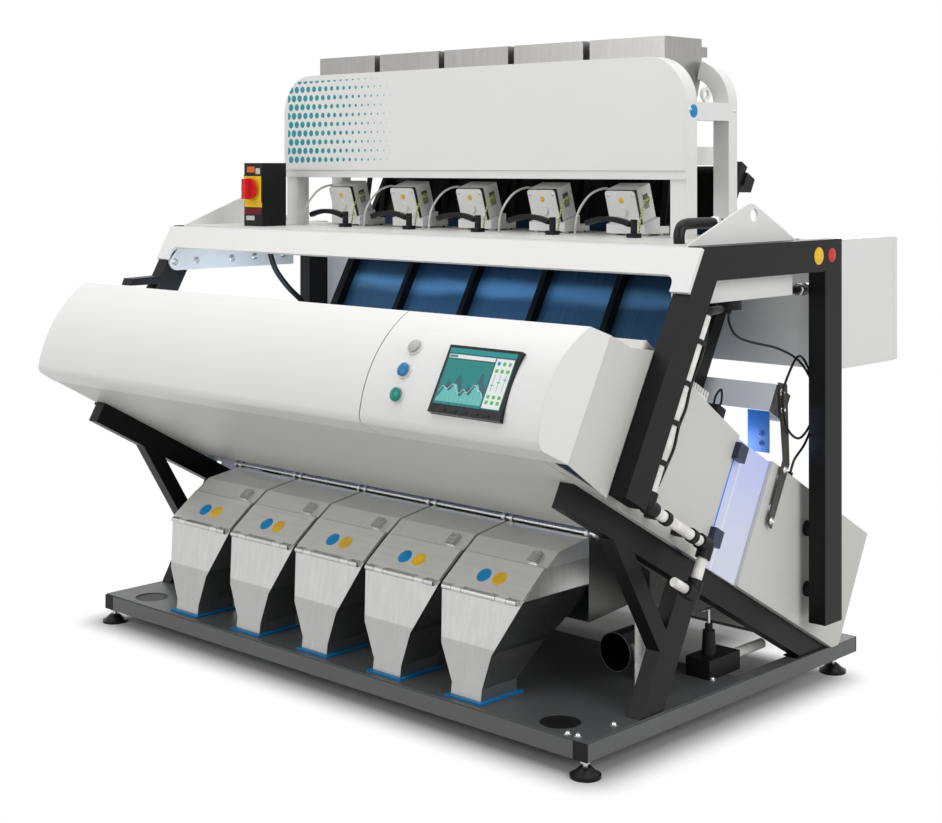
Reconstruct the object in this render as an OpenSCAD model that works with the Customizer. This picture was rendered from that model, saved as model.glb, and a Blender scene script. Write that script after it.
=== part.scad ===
// Five-chute optical colour sorter for grain and other free-flowing food.
// Frame: origin under the middle of the machine on the floor, +X to the right
// seen from the front, +Y to the back, +Z up, millimetres.

/* [Base] */
// Width of the base over the side rails
base_w = 2300; // [2240:10:2360]
// Depth of the base from front rail to rear rail
base_d = 1430; // [1380:10:1500]
// Side of the square base rails
rail = 50; // [40:1:60]
// Height of the rails above the floor
foot_h = 50; // [40:1:70]
// Thickness of the deck plate on the rails
deck_t = 4; // [3:0.5:8]
// Depth of the deck plate
deck_d = 780; // [720:10:860]
// Diameter of the two clean-out ports in the deck
port_d = 120; // [80:2:140]
// Diameter of the foot pads
pad_d = 88; // [60:2:110]
// Diameter of the foot studs
stud_d = 16; // [12:1:20]

/* [Side frames] */
// Slope of the diagonal beams below the horizontal, in degrees
tilt = 29; // [28:0.25:30]
// Height of the front end of the diagonal beams
beam_z = 820; // [800:2:840]
// How far the beams reach ahead of the base
beam_lead = 42; // [20:2:60]
// Section height of the diagonal beams
beam_h = 75; // [60:1:90]
// Width of the lower frame bars
low_w = 50; // [40:1:60]
// Distance of the leg along the beam
leg_t = 601; // [580:1:640]
// Section depth of the leg
leg_d = 100; // [80:1:120]
// Width of the brace between beam and leg
brace_w = 55; // [40:1:70]
// Width of the upper frame bars
up_w = 60; // [50:1:64]
// Section depth of the upper frame bars
up_d = 100; // [80:1:104]
// Height of the top of the upper frames
top_z = 1454; // [1440:1:1470]
// Rear face of the rear hanging posts behind the base front edge
rear_post_y = 1144; // [1130:1:1160]
// Height of the lower end of the rear posts
rear_post_z = 235; // [200:5:270]
// Height of the lifting eyes above the upper frames
lift_h = 118; // [100:1:140]

/* [Sorting head] */
// How far the optics housings reach past the base on each side
head_over = 15; // [5:1:30]
// Gap between the housings and the upper frames
standoff = 39; // [30:1:50]
// Height of the housings square to the beams
head_h = 405; // [390:1:420]
// End of the front housing along the beam
front_t1 = 642; // [636:1:660]
// Start of the rear housing along the beam
rear_t0 = 852; // [840:1:870]
// Lower end of the rear housing along the beam
rear_t1 = 1512; // [1490:1:1520]
// Sheet thickness of housings and covers
sheet = 3; // [2:0.25:4]
// Radius of the bowed hood front
hood_r = 377; // [360:1:420]
// How far the hood bows out ahead of the beam ends
hood_out = 325; // [310:1:335]
// Radius of the lower front edge of the hood
hood_edge_r = 30; // [20:1:38]
// Distance of the hood split from the machine middle
split_x = 556; // [520:1:590]
// Gap between door and control panel
split_gap = 4; // [2:0.5:6]

/* [Chutes and feeders] */
// Distance between neighbouring chutes
chute_pitch = 340; // [330:1:344]
// Width of the rib between two chutes
rib_w = 24; // [16:1:30]
// Height of the ribs above the chute floor
rib_h = 33; // [20:1:40]
// Thickness of the chute floors
chute_floor = 4; // [3:0.5:6]
// Width of an inlet hopper
inlet_w = 311; // [290:1:320]
// Depth of an inlet hopper at its mouth
inlet_d = 203; // [190:1:215]
// Height of the inlet hopper mouths above the floor
inlet_z = 2106; // [2080:2:2140]
// Width of a feeder drive
drive_w = 124; // [110:1:140]
// Height of a feeder drive
drive_h = 115; // [100:1:124]

/* [Gantry] */
// Width over the gantry posts
gantry_w = 1924; // [1900:2:1960]
// Height of the top of the gantry side rails
gantry_z = 1890; // [1870:2:1910]
// Height of the front panel
panel_h = 365; // [345:1:375]
// Radius of the upper panel corners
panel_r = 150; // [60:1:170]

/* [Outlets] */
// Width of an outlet hopper at its flap
outlet_w = 330; // [310:1:332]
// Width of the outlet mouth
mouth_w = 122; // [100:1:140]
// Depth of the outlet mouth
mouth_d = 160; // [140:1:164]
// Diameter of the flap hinge pins
pin_d = 8; // [6:0.5:10]
// Radial clearance of the hinge pins
pin_fit = 0.06; // [0.04:0.01:0.1]

/* [Controls and cabinet] */
// Width of the touch screen
screen_w = 266; // [240:1:280]
// Height of the touch screen
screen_h = 198; // [180:1:210]
// Diameter of the push buttons
button_d = 40; // [30:1:46]
// Diameter of the main switch knob
knob_d = 80; // [60:1:90]
// How far the cabinet stops inside the upper frames on each side
cab_in = 34; // [20:1:50]
// Depth of the electrical cabinet
cab_d = 411; // [380:1:440]
// Height of the electrical cabinet
cab_h = 418; // [390:1:430]
// Diameter of the air pipe
pipe_d = 32; // [24:1:36]

/* [Hidden] */
$fn = 48;
chutes = 5;
weld = 0.2;
slack = 0.5;
white = [0.91, 0.91, 0.9];
beige = [0.78, 0.78, 0.76];
black = [0.1, 0.1, 0.11];
base_grey = [0.35, 0.36, 0.37];
steel = [0.72, 0.73, 0.74];
stainless = [0.66, 0.67, 0.68];
chute_blue = [0.16, 0.27, 0.42];
gasket_blue = [0.1, 0.5, 0.8];
glow = [0.75, 0.78, 0.95];

base_top = foot_h + rail;
deck_top = base_top + deck_t;
low_x1 = base_w / 2 - 10;
low_x0 = low_x1 - low_w;
head_x = base_w / 2 + head_over;
up_x0 = head_x + standoff;
up_x1 = up_x0 + up_w;
cab_w = 2 * (up_x1 - cab_in);
bank_w = chutes * chute_pitch;

// Tilted sort frame: t runs back and down along the beams, s up and back
function wy(t, s) = t * cos(tilt) + s * sin(tilt) - beam_lead;
function wz(t, s) = beam_z - t * sin(tilt) + s * cos(tilt);
function s_at(t, z) = (z - beam_z + t * sin(tilt)) / cos(tilt);
function t_at(s, z) = (beam_z - z + s * cos(tilt)) / sin(tilt);
function t_of_y(s, y) = (y + beam_lead - s * sin(tilt)) / cos(tilt);
function arc(c, r, a0, a1, n) =
    [for (i = [0:n]) c + r * [cos(a0 + (a1 - a0) * i / n), sin(a0 + (a1 - a0) * i / n)]];
function chute_x(i) = (i - (chutes - 1) / 2) * chute_pitch;

// Hood section in the sort frame: one bowed front, a rounded lower edge, a falling top
post_t = 75;
hood_c = [hood_r - hood_out, 150];
hood_top_s = 357;
hood_under_s = -5;
hood_split_t = -195;
hood_max_x = up_x1;
hood_bevel = 36;
hood_left_x = head_x - 12;
top_split_s = 364;
top_mid = [-66, 384];
top_back_s = 437;
edge_c = [hood_c[0] - sqrt(pow(hood_r - hood_edge_r, 2)
          - pow(hood_c[1] - hood_under_s - hood_edge_r, 2)), hood_under_s + hood_edge_r];
edge_a = atan2(edge_c[1] - hood_c[1], edge_c[0] - hood_c[0]) + 360;
top_a = 180 - asin((hood_top_s - hood_c[1]) / hood_r);

// Angle of the outward normal and depth of the hood face at a height s
function face_a(s) = 180 - asin((s - hood_c[1]) / hood_r);
function face_t(s) = hood_c[0] + hood_r * cos(face_a(s));

// Screen middle on the hood face, and the lower front edge of its bezel
screen_p = [971, 143];
bezel_h = 3;
screen_a = face_a(screen_p[1]);
screen_front = [face_t(screen_p[1]), screen_p[1]]
    - screen_h / 2 * [sin(screen_a), -cos(screen_a)] + bezel_h * [cos(screen_a), sin(screen_a)];

// Feeders, gantry and cabinet places
feed_z = top_z + deck_t;
gantry_x1 = gantry_w / 2;
post_sx = 60;
front_sy = 60;
rear_sy = 48;
gantry_y0 = 718;
gantry_y1 = 953;
inlet_y0 = gantry_y0 + front_sy + 0.3;
tray_z = 1690;
cab_y0 = rear_post_y + 6;
cab_z1 = top_z - 6;
cab_z0 = cab_z1 - cab_h;
vent_out = 24;
y_min = min(wy(edge_c[0], edge_c[1]) - hood_edge_r, wy(screen_front[0], screen_front[1]));
y_max = cab_y0 + cab_d + vent_out;
y_mid = (y_min + y_max) / 2;

// Outlet hopper section, front to back, seen from the right
out_front = 40;
hinge_p = [82, 419];
flap_top = [187, 500];
out_bend = [242, 538];
rod_p = [wy(497, 0), wz(497, -12)];
rod_d = 14;
out_back = 383;
flap_a = atan2(flap_top[1] - hinge_p[1], flap_top[0] - hinge_p[0]);
flap_len = norm(flap_top - hinge_p);

module place() { translate([0, -y_mid, 0]) children(); }
module tilted() { place() translate([0, -beam_lead, beam_z]) rotate([-tilt, 0, 0]) children(); }
module both_x() { children(); mirror([1, 0, 0]) children(); }
module block(a, b) { translate(a) cube(b - a); }
// Extrudes a section drawn in the Y-Z plane along X
module slab(x0, x1) { translate([x0, 0, 0]) rotate([90, 0, 90]) linear_extrude(x1 - x0) children(); }
// Extrudes a face drawn in the X-Z plane along Y
module face(y0, y1) { translate([0, y1, 0]) rotate([90, 0, 0]) linear_extrude(y1 - y0) children(); }
module rod_x(x0, x1, d) { translate([x0, 0, 0]) rotate([0, 90, 0]) cylinder(h = x1 - x0, d = d); }
module rod_y(y0, y1, d) { translate([0, y1, 0]) rotate([90, 0, 0]) cylinder(h = y1 - y0, d = d); }

module base_frame() {
    color(base_grey) place() {
        both_x() block([base_w / 2 - rail, cap_t, foot_h], [base_w / 2, base_d - cap_t, base_top]);
        for (y = [0, deck_d - rail, base_d - rail])
            block([weld + rail - base_w / 2, y, foot_h], [base_w / 2 - rail - weld, y + rail, base_top]);
    }
}
cap_t = 6;
port_p = [base_w / 2 - 169, 88];

module base_deck() {
    color(base_grey) place() difference() {
        block([4 - base_w / 2, 4, base_top], [base_w / 2 - 4, deck_d, deck_top]);
        for (sx = [-1, 1])
            translate([sx * port_p[0], port_p[1], base_top - 1]) cylinder(h = deck_t + 2, d = port_d);
        // Passages under the outlet mouths
        for (i = [0:chutes - 1]) translate([chute_x(i) + mouth_x0, out_front, base_top])
            block([out_sheet, out_sheet, -1], [mouth_w - out_sheet, mouth_d - out_sheet, deck_t + 1]);
    }
}

module black_caps() {
    color(black) place() {
        both_x() for (y = [0, base_d - cap_t])
            block([base_w / 2 - rail, y, foot_h], [base_w / 2, y + cap_t, base_top]);
        for (sx = [-1, 1])
            translate([sx * port_p[0], port_p[1], base_top]) cylinder(h = deck_t / 2, d = port_d - slack);
    }
}

foot_x = base_w / 2 - rail / 2;
foot_ys = [rail / 2, base_d - 110];
pad_z = 30;

module foot_pads() {
    color(black) place() both_x() for (y = foot_ys) translate([foot_x, y, 0]) {
        cylinder(h = 9, d = pad_d);
        translate([0, 0, 9]) cylinder(h = pad_z - 9, d1 = pad_d - 8, d2 = 2 * stud_d);
    }
}

module foot_studs() {
    color(steel) place() both_x() for (y = foot_ys) translate([foot_x, y, pad_z]) {
        cylinder(h = foot_h - pad_z, d = stud_d);
        translate([0, 0, foot_h - pad_z - 10]) cylinder(h = 10, d = 1.9 * stud_d, $fn = 6);
    }
}

// Diagonal beam, leg and brace of one lower frame, drawn for the right side
module lower_frame() {
    brace_t0 = leg_t - 364;
    brace_t1 = brace_t0 + brace_w / sin(30);
    under = -beam_h - weld;
    run = leg_t - weld;
    tilted() slab(low_x0, low_x1) {
        polygon([[0, -beam_h], [t_at(-beam_h, deck_top), -beam_h], [t_at(0, deck_top), 0], [0, 0]]);
        polygon([[leg_t, under], [leg_t, s_at(leg_t, deck_top)],
                 [leg_t + leg_d, s_at(leg_t + leg_d, deck_top)], [leg_t + leg_d, under]]);
        polygon([[brace_t0, under], [run, under - (run - brace_t0) * tan(30)],
                 [run, under - (run - brace_t1) * tan(30)], [brace_t1, under]]);
    }
    place() block([low_x0, wy(t_at(-beam_h, deck_top), -beam_h) - 20, base_top],
                  [low_x1, wy(t_at(0, deck_top), 0) + 20, deck_top]);
}
module lower_frame_right() { color(black) lower_frame(); }
module lower_frame_left() { color(black) mirror([1, 0, 0]) lower_frame(); }

// Slanted post, top beam and hanging rear post of one upper frame with its spacers
module upper_frame() {
    beam_under = top_z - up_d;
    joint_z = beam_under - weld;
    post_s0 = 7;
    spacer_d = 50;
    tilted() slab(up_x0, up_x1)
        polygon([[post_t, post_s0], [post_t + up_d, post_s0],
                 [post_t + up_d, s_at(post_t + up_d, joint_z)], [post_t, s_at(post_t, joint_z)]]);
    place() {
        slab(up_x0, up_x1)
            polygon([[wy(post_t, s_at(post_t, beam_under)), beam_under], [rear_post_y, beam_under],
                     [rear_post_y, top_z], [wy(post_t, s_at(post_t, top_z)), top_z]]);
        block([up_x0, rear_post_y - up_d, rear_post_z], [up_x1, rear_post_y, joint_z]);
    }
    tilted() {
        for (s = [90, 320]) translate([0, post_t + up_d / 2, s]) rod_x(head_x + weld, up_x0 - weld, spacer_d);
        for (s = [120, 290])
            translate([0, t_of_y(s, rear_post_y - up_d / 2), s]) rod_x(head_x + weld, up_x0 - weld, spacer_d);
    }
}
module upper_frame_right() { color(black) upper_frame(); }
module upper_frame_left() {
    arm_z = top_z - 222;
    color(black) {
        mirror([1, 0, 0]) upper_frame();
        // Forward arm for the hood prop on the left post
        place() slab(-up_x1, -up_x0)
            polygon([[150, arm_z], [wy(post_t, s_at(post_t, arm_z)) - weld, arm_z],
                     [wy(post_t, s_at(post_t, arm_z + 30)) - weld, arm_z + 30], [160, arm_z + 26]]);
    }
}

plate_t = 8;
plate_x = up_x0 - plate_t;

// Plates bolted inside the top beams, each rising to a lifting eye
module lifting_plates() {
    eye_r = 60;
    eye_y = 719;
    low_z = top_z - up_d - 72;
    nose_r = 36;
    nose_y = wy(post_t, s_at(post_t, low_z)) + 24;
    eye_c = [eye_y, top_z + lift_h - eye_r];
    color(white) place() both_x() difference() {
        slab(plate_x, up_x0) polygon(concat(
            arc([nose_y + nose_r, low_z + nose_r], nose_r, 180, 270, 6),
            [[eye_y + 230, low_z], [eye_y + 230, top_z - 20], [eye_y + 251, top_z]],
            arc(eye_c, eye_r, 65, 110, 8),
            [[eye_y - 320, top_z + 4], [eye_y - 350, top_z - up_d + 20]]));
        translate([0, eye_y + 16, eye_c[1] + 24]) rod_x(plate_x - 1, up_x0 + 1, 40);
    }
}

// White sheet across the fronts of both posts, with a leg on each post
module fascia() {
    deep = 12;
    top_s = s_at(post_t, top_z - 8);
    span_s = top_s - 90;
    leg_s = top_s - 142;
    leg_w = 66;
    in_x = up_x1 - leg_w;
    r = 30;
    color(white) tilted() {
        face(post_t - deep, post_t)
            polygon(concat([[-in_x, leg_s]], arc([-in_x + r, span_s - r], r, 180, 90, 6),
                           arc([in_x - r, span_s - r], r, 90, 0, 6),
                           [[in_x, leg_s], [up_x1, leg_s], [up_x1, top_s], [-up_x1, top_s],
                            [-up_x1, leg_s]]));
    }
    color(white) place()
        block([-plate_x + slack, wy(post_t, top_s) + slack, top_z - sheet],
              [plate_x - slack, 470, top_z]);
}

// Deck under the feeders with its two cross tubes between the lifting plates
module feeder_deck() {
    tube = 60;
    deck_y0 = wy(post_t, s_at(post_t, top_z)) + 10;
    color(beige) place() {
        block([-plate_x + slack, deck_y0, top_z], [plate_x - slack, gantry_y1 + rear_sy + 4, feed_z]);
        for (y = [474, gantry_y1 - 20])
            block([-plate_x, y, top_z - tube], [plate_x, y + tube, top_z - weld]);
    }
}

// Portal frames with rounded shoulders that carry the front panel and the hoppers
module gantry_frame() {
    rail_h = 58;
    shoulder_z = gantry_z + panel_h - 219 - panel_r;
    post_top = shoulder_z - weld;
    in_x = gantry_x1 - post_sx;
    eye_d = 46;
    eye_bar = 10;
    eye_hole = 26;
    eye_rise = 4;
    eye_y = (gantry_y0 + gantry_y1 + front_sy) / 2;
    color(white) place() {
        both_x() {
            block([in_x, gantry_y0, feed_z], [gantry_x1, gantry_y0 + front_sy, post_top]);
            block([in_x, gantry_y1, feed_z], [gantry_x1, gantry_y1 + rear_sy, post_top]);
            block([in_x, gantry_y0 + front_sy + weld, gantry_z - rail_h],
                  [gantry_x1, gantry_y1 - weld, gantry_z]);
            shoulder(gantry_y0, front_sy, 90, shoulder_z);
            shoulder(gantry_y1, rear_sy, 74, shoulder_z);
        }
        block([panel_r + weld - gantry_x1, gantry_y0, shoulder_z + panel_r - post_sx],
              [gantry_x1 - panel_r - weld, gantry_y0 + front_sy, shoulder_z + panel_r]);
        // Tie bar between the posts under the panel
        block([weld - in_x, gantry_y0 + 8, gantry_z - 246],
              [in_x - weld, gantry_y0 + front_sy, gantry_z - 206]);
    }
    color(steel) place() both_x()
        translate([gantry_x1 - post_sx / 2, eye_y, gantry_z + weld]) difference() {
            union() {
                translate([0, 0, eye_d / 2 + eye_rise]) rod_x(-eye_bar / 2, eye_bar / 2, eye_d);
                cylinder(h = eye_rise + 6, d = 1.6 * eye_bar);
            }
            translate([0, 0, eye_d / 2 + eye_rise]) rod_x(-eye_bar, eye_bar, eye_hole);
        }
}

// Rounded shoulder of a portal frame, swept from the post toward the middle
module shoulder(y0, depth, sweep, z) {
    translate([gantry_x1 - panel_r, y0 + depth, z]) rotate([90, 0, 0]) rotate_extrude(angle = sweep)
        translate([panel_r - post_sx, 0]) square([post_sx, depth]);
}

// Formed front panel with rounded upper corners and a rail along its foot
module gantry_panel() {
    half = gantry_x1 + 4;
    depth = 11;
    panel_z0 = gantry_z - 219;
    rail_z0 = panel_z0 - 28;
    outline_n = 12;
    color(white) place() {
        difference() {
            face(gantry_y0 - depth, gantry_y0) polygon(concat(
                [[-half, panel_z0], [half, panel_z0]],
                arc([half - panel_r, panel_z0 + panel_h - panel_r], panel_r, 0, 90, outline_n),
                arc([panel_r - half, panel_z0 + panel_h - panel_r], panel_r, 90, 180, outline_n)));
            face(gantry_y0 - depth + sheet, gantry_y0 + 1) polygon(concat(
                [[sheet - half, panel_z0 + sheet], [half - sheet, panel_z0 + sheet]],
                arc([half - panel_r, panel_z0 + panel_h - panel_r], panel_r - sheet, 0, 90, outline_n),
                arc([panel_r - half, panel_z0 + panel_h - panel_r], panel_r - sheet, 90, 180, outline_n)));
        }
        block([-half, gantry_y0 - depth + 4, rail_z0], [half, gantry_y0, panel_z0 - weld]);
    }
}

// Five open inlet hoppers, each of two side plates, a front plate and a rear plate
module inlet_hoppers() {
    wall = 3;
    bottom_z = tray_z + 64;
    y1 = inlet_y0 + inlet_d;
    throat_y0 = inlet_y0 + 40;
    throat_y1 = throat_y0 + 90;
    half = inlet_w / 2;
    color(stainless) place() for (i = [0:chutes - 1]) translate([chute_x(i), 0, 0]) {
        for (x = [-half, half - wall]) slab(x, x + wall)
            polygon([[throat_y0, bottom_z], [throat_y1, bottom_z], [y1, inlet_z - 110], [y1, inlet_z],
                     [inlet_y0, inlet_z], [inlet_y0, inlet_z - 110]]);
        slab(wall + weld - half, half - wall - weld) {
            polygon([[inlet_y0, inlet_z - 110 + weld], [inlet_y0 + wall, inlet_z - 110 + weld],
                     [inlet_y0 + wall, inlet_z], [inlet_y0, inlet_z]]);
            polygon([[throat_y0, bottom_z], [throat_y0 + wall, bottom_z],
                     [inlet_y0 + wall, inlet_z - 110], [inlet_y0, inlet_z - 110]]);
            polygon([[y1 - wall, inlet_z - 110 + weld], [y1, inlet_z - 110 + weld],
                     [y1, inlet_z], [y1 - wall, inlet_z]]);
            polygon([[throat_y1 - wall, bottom_z], [throat_y1, bottom_z],
                     [y1, inlet_z - 110], [y1 - wall, inlet_z - 110]]);
        }
    }
    // Angle that ties the backs of the hoppers together
    color(stainless) place()
        block([chute_x(0) - half, y1 + weld, inlet_z - 60],
              [chute_x(chutes - 1) + half, y1 + 32, inlet_z - 26]);
}

// Vibrating trays that carry product back from the hoppers to the chutes
module feeder_trays() {
    half = inlet_w / 2 - 6;
    wall = 3;
    y0 = inlet_y0 + 12;
    tray_y1 = wy(chute_t, chute_s1) - 12;
    color(stainless) place() for (i = [0:chutes - 1]) translate([chute_x(i), 0, 0]) {
        block([-half, y0, tray_z], [half, tray_y1, tray_z + wall]);
        for (x = [-half, half - wall])
            block([x, y0 + wall + weld, tray_z + wall + weld], [x + wall, tray_y1, tray_z + 60]);
        block([-half, y0, tray_z + wall + weld], [half, y0 + wall, tray_z + 60]);
        block([-30, y0, tray_z - 40], [30, y0 + 120, tray_z - weld]);
    }
}

drive_y = 773;
drive_tilt = 17;
drive_deep = 74;

// Boxes of the feeder magnets, leaning forward, with cover plate, socket and foot
module feeder_drives() {
    cover = 12;
    foot_w = drive_w + 36;
    lift = 37;
    color(white) place() for (i = [0:chutes - 1]) translate([chute_x(i), drive_y, feed_z]) {
        translate([0, 0, lift]) rotate([drive_tilt, 0, 0]) {
            block([-drive_w / 2, cover + weld, 0], [drive_w / 2, cover + drive_deep, drive_h]);
            face(0, cover) polygon(concat(
                [[-drive_w / 2, 0], [drive_w / 2, 0]],
                arc([drive_w / 2 - 12, drive_h - 12], 12, 0, 90, 4),
                arc([12 - drive_w / 2, drive_h - 12], 12, 90, 180, 4)));
            translate([0, 0, drive_h * 0.38]) rod_y(-8, -weld, 36);
        }
        slab(-foot_w / 2, foot_w / 2) polygon([[0, 6], [132, 6], [132, 30], [80, 30],
            [80, lift + 80 * tan(drive_tilt) - 1], [0, lift - 1]]);
        for (sx = [-1, 1], y = [26, 106])
            translate([sx * (foot_w / 2 - 20), y, 0]) cylinder(h = 6, d = 24);
    }
}

// Leaf springs between each drive foot and its tray
module drive_springs() {
    y0 = drive_y + 134;
    color(black) place() for (i = [0:chutes - 1], sx = [-1, 1])
        translate([chute_x(i) + sx * 44, 0, 0]) slab(-12, 12)
            polygon([[y0, feed_z], [y0 + 6, feed_z], [y0 + 46, tray_z], [y0 + 40, tray_z]]);
}

elbow_p = [122, 660];

// Black elbow connectors ahead of the feeders, each with a bowed cable tail
module cable_elbows() {
    tail = 180;
    foot = 34;
    rise = 58;
    bow_r = 260;
    bow_a = asin(tail / 2 / bow_r);
    thick = 17;
    color(black) place() for (i = [0:chutes - 1])
        translate([chute_x(i) + elbow_p[0], elbow_p[1], feed_z]) {
            block([-foot / 2, -foot / 2, 0], [foot / 2, foot / 2, 14]);
            translate([0, 0, 14 + weld]) cylinder(h = rise - 14, d = 22);
            face(-9, 9) polygon(concat(
                arc([-tail / 2 - 14, rise - bow_r], bow_r + thick / 2, 90 - bow_a, 90 + bow_a, 8),
                arc([-tail / 2 - 14, rise - bow_r], bow_r - thick / 2, 90 + bow_a, 90 - bow_a, 8)));
        }
}

chute_t = 672;
chute_s0 = 330;
chute_s1 = 1362;

// Five smooth anodised chute floors
module feed_chutes() {
    floor_w = chute_pitch - rib_w;
    color(chute_blue) tilted() for (i = [0:chutes - 1])
        block([chute_x(i) - floor_w / 2, chute_t, chute_s0],
              [chute_x(i) + floor_w / 2, chute_t + chute_floor, chute_s1]);
}

// Ribs between the chutes, with the uprights and cross bars that carry the bank
module chute_frame() {
    upright_x = bank_w / 2 + rib_w / 2 + 8;
    bar = 50;
    back_t = chute_t + chute_floor + weld;
    tie_y = gantry_y1 - 20 + 60 + weld;
    tie_z = [top_z - 52, top_z - 12];
    color(black) tilted() {
        for (i = [0:chutes])
            block([(i - chutes / 2) * chute_pitch - rib_w / 2 + weld, chute_t - rib_h, chute_s0],
                  [(i - chutes / 2) * chute_pitch + rib_w / 2 - weld, chute_t + chute_floor, chute_s1]);
        for (s = [480, 960, 1290])
            block([-upright_x, back_t, s], [upright_x, back_t + bar, s + bar]);
        both_x() block([upright_x + weld, back_t, 20], [upright_x + bar, back_t + bar, s_at(back_t, top_z)]);
        both_x() block([upright_x + weld, window_t + sheet + weld, 300],
                       [upright_x + bar, back_t - weld, 350]);
    }
    color(black) place() both_x() slab(upright_x + weld, upright_x + bar)
        polygon([[tie_y, tie_z[0]], [wy(back_t, s_at(back_t, tie_z[0])) - 1, tie_z[0]],
                 [wy(back_t, s_at(back_t, tie_z[1])) - 1, tie_z[1]], [tie_y, tie_z[1]]]);
}

window_t = 570;
window_s = 200;
window_h = 110;

function front_top(t) = top_back_s + 28 - 0.105 * (t - post_t);

// Fixed part of the front housing: hood surround, side panels, floor, roof and window wall
module front_housing() {
    wall_top = front_top(window_t) - sheet - weld;
    in_x = head_x - sheet - weld;
    split_t = hood_split_t + slack;
    end_t = post_t - 2;
    side_in = up_x0 - 1 - sheet;
    color(beige) tilted() {
        // Tapered surround on the control side, between the hood split and the post
        intersection() {
            slab(0, hood_max_x) polygon([[split_t, hood_under_s], [end_t, hood_under_s],
                [end_t, top_back_s - 1], top_mid, [split_t, top_split_s]]);
            linear_extrude(1000, center = true)
                polygon([[hood_max_x, hood_split_t], [up_x0 - 1, post_t],
                         [side_in, post_t], [hood_max_x - sheet, hood_split_t]]);
        }
        block([head_x + weld, end_t - sheet, 0], [side_in - weld, end_t, top_back_s - 6]);
        // Flat side panels of the optics box, the left one running on to the hood split
        slab(head_x - sheet, head_x) polygon([[end_t, 0], [front_t1, 0],
            [front_t1, front_top(front_t1)], [end_t, front_top(post_t)]]);
        slab(-head_x, sheet - head_x) polygon([[split_t, 0], [front_t1, 0],
            [front_t1, front_top(front_t1)], [post_t, front_top(post_t)], top_mid, [split_t, top_split_s]]);
        // Roof over the surround and the optics box
        intersection() {
            slab(-in_x, hood_max_x) {
                polygon([[split_t, top_split_s - sheet], top_mid + [-weld, -sheet],
                         top_mid + [-weld, 0], [split_t, top_split_s]]);
                polygon([top_mid + [0, -sheet], [post_t - 4, top_back_s - 2 - sheet],
                         [post_t - 4, top_back_s - 2], top_mid]);
            }
            linear_extrude(1000, center = true)
                polygon([[-in_x, hood_split_t], [hood_max_x - sheet - weld, hood_split_t],
                         [side_in - weld, post_t], [-in_x, post_t]]);
        }
        slab(-in_x, in_x) {
            polygon([[post_t - 4 + weld, top_back_s - 2 - sheet],
                     [post_t - 4 + weld + sheet, top_back_s - 2 - sheet],
                     [post_t - 4 + weld + sheet, front_top(post_t) - sheet],
                     [post_t - 4 + weld, front_top(post_t) - sheet]]);
            polygon([[post_t + weld, front_top(post_t) - sheet],
                     [window_t + sheet, front_top(window_t) - sheet],
                     [window_t + sheet, front_top(window_t)], [post_t + weld, front_top(post_t)]]);
        }
        // Floor panel under the hood and the optics box
        block([-in_x, split_t, 0], [in_x, 490, sheet]);
        slab(head_x + weld, up_x0 - 8) polygon([[split_t, 0], [end_t - sheet - weld, 0],
            [end_t - sheet - weld, sheet], [split_t, sheet]]);
        // Window wall above and below the optics window
        block([-in_x, window_t, sheet + weld], [in_x, window_t + sheet, window_s - window_h / 2]);
        block([-in_x, window_t, window_s + window_h / 2], [in_x, window_t + sheet, wall_top]);
    }
}

// Outline of the hood section, set in by a wall thickness
function hood_section(w, t_end, s_end) = concat(
    arc(hood_c, hood_r - w, top_a, edge_a, 24),
    arc(edge_c, hood_edge_r - w, edge_a, 270, 6),
    [[t_end, hood_under_s + w], [t_end, s_end - w]]);

module hood_body(w) {
    intersection() {
        slab(-hood_max_x, hood_max_x) polygon(hood_section(w, hood_split_t + (w > 0 ? 1 : 0), top_split_s));
        linear_extrude(1200, center = true) polygon([
            [w - hood_left_x, hood_split_t + 2], [hood_max_x - w, hood_split_t + 2],
            [hood_max_x - w, hood_split_t], [hood_max_x - hood_bevel - w, -hood_out - 1],
            [w + hood_bevel - hood_left_x, -hood_out - 1], [w - hood_left_x, hood_split_t]]);
    }
}

module hood_shell() {
    difference() {
        hood_body(0);
        hood_body(sheet);
    }
}

// Long lifting door, left of the split
module front_door() {
    edge = split_x - split_gap / 2;
    color(white) tilted() {
        intersection() {
            hood_shell();
            block([-hood_max_x - 1, -hood_out - 1, -50], [edge, hood_split_t, 500]);
        }
        // Rib that closes the door at the split
        slab(edge - 2 * sheet, edge - sheet)
            polygon(hood_section(sheet + weld, hood_split_t - 1, top_split_s));
    }
    // Hinge leaves under the roof edge of the housing
    color(black) tilted() for (x = [-1000, -340, 320])
        block([x, hood_split_t - 40, top_split_s - 22],
              [x + 70, hood_split_t - 6, top_split_s - 2.25 * sheet]);
}

button_x = 698;
button_ss = [225, 151, 80];

// Moves to a point on the hood face with +Z along the outward normal
module on_face(x, s) {
    translate([x, face_t(s), s]) rotate([90 - (180 - face_a(s)), 0, 0]) children();
}

screen_deep = 34;

// Control panel, right of the split, with seats for the screen and the buttons
module control_panel() {
    edge = split_x + split_gap / 2;
    color(white) tilted() {
        difference() {
            intersection() {
                hood_shell();
                block([edge, -hood_out - 1, -50], [hood_max_x + 1, hood_split_t, 500]);
            }
            on_face(screen_p[0], screen_p[1]) translate([-screen_w / 2 - slack, -screen_h / 2 - slack, -60])
                cube([screen_w + 2 * slack, screen_h + 2 * slack, 90]);
            for (s = button_ss) on_face(button_x, s) translate([0, 0, -20])
                cylinder(h = 40, d = stem_d + 2 * slack);
        }
        slab(edge + sheet, edge + 2 * sheet)
            polygon(hood_section(sheet + weld, hood_split_t - 1, top_split_s));
    }
    color(black) tilted() for (s = button_ss) on_face(button_x, s) difference() {
        cylinder(h = ring_h, d = button_d + 10);
        translate([0, 0, -1]) cylinder(h = ring_h + 2, d = stem_d + 2 * slack);
    }
}

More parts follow.
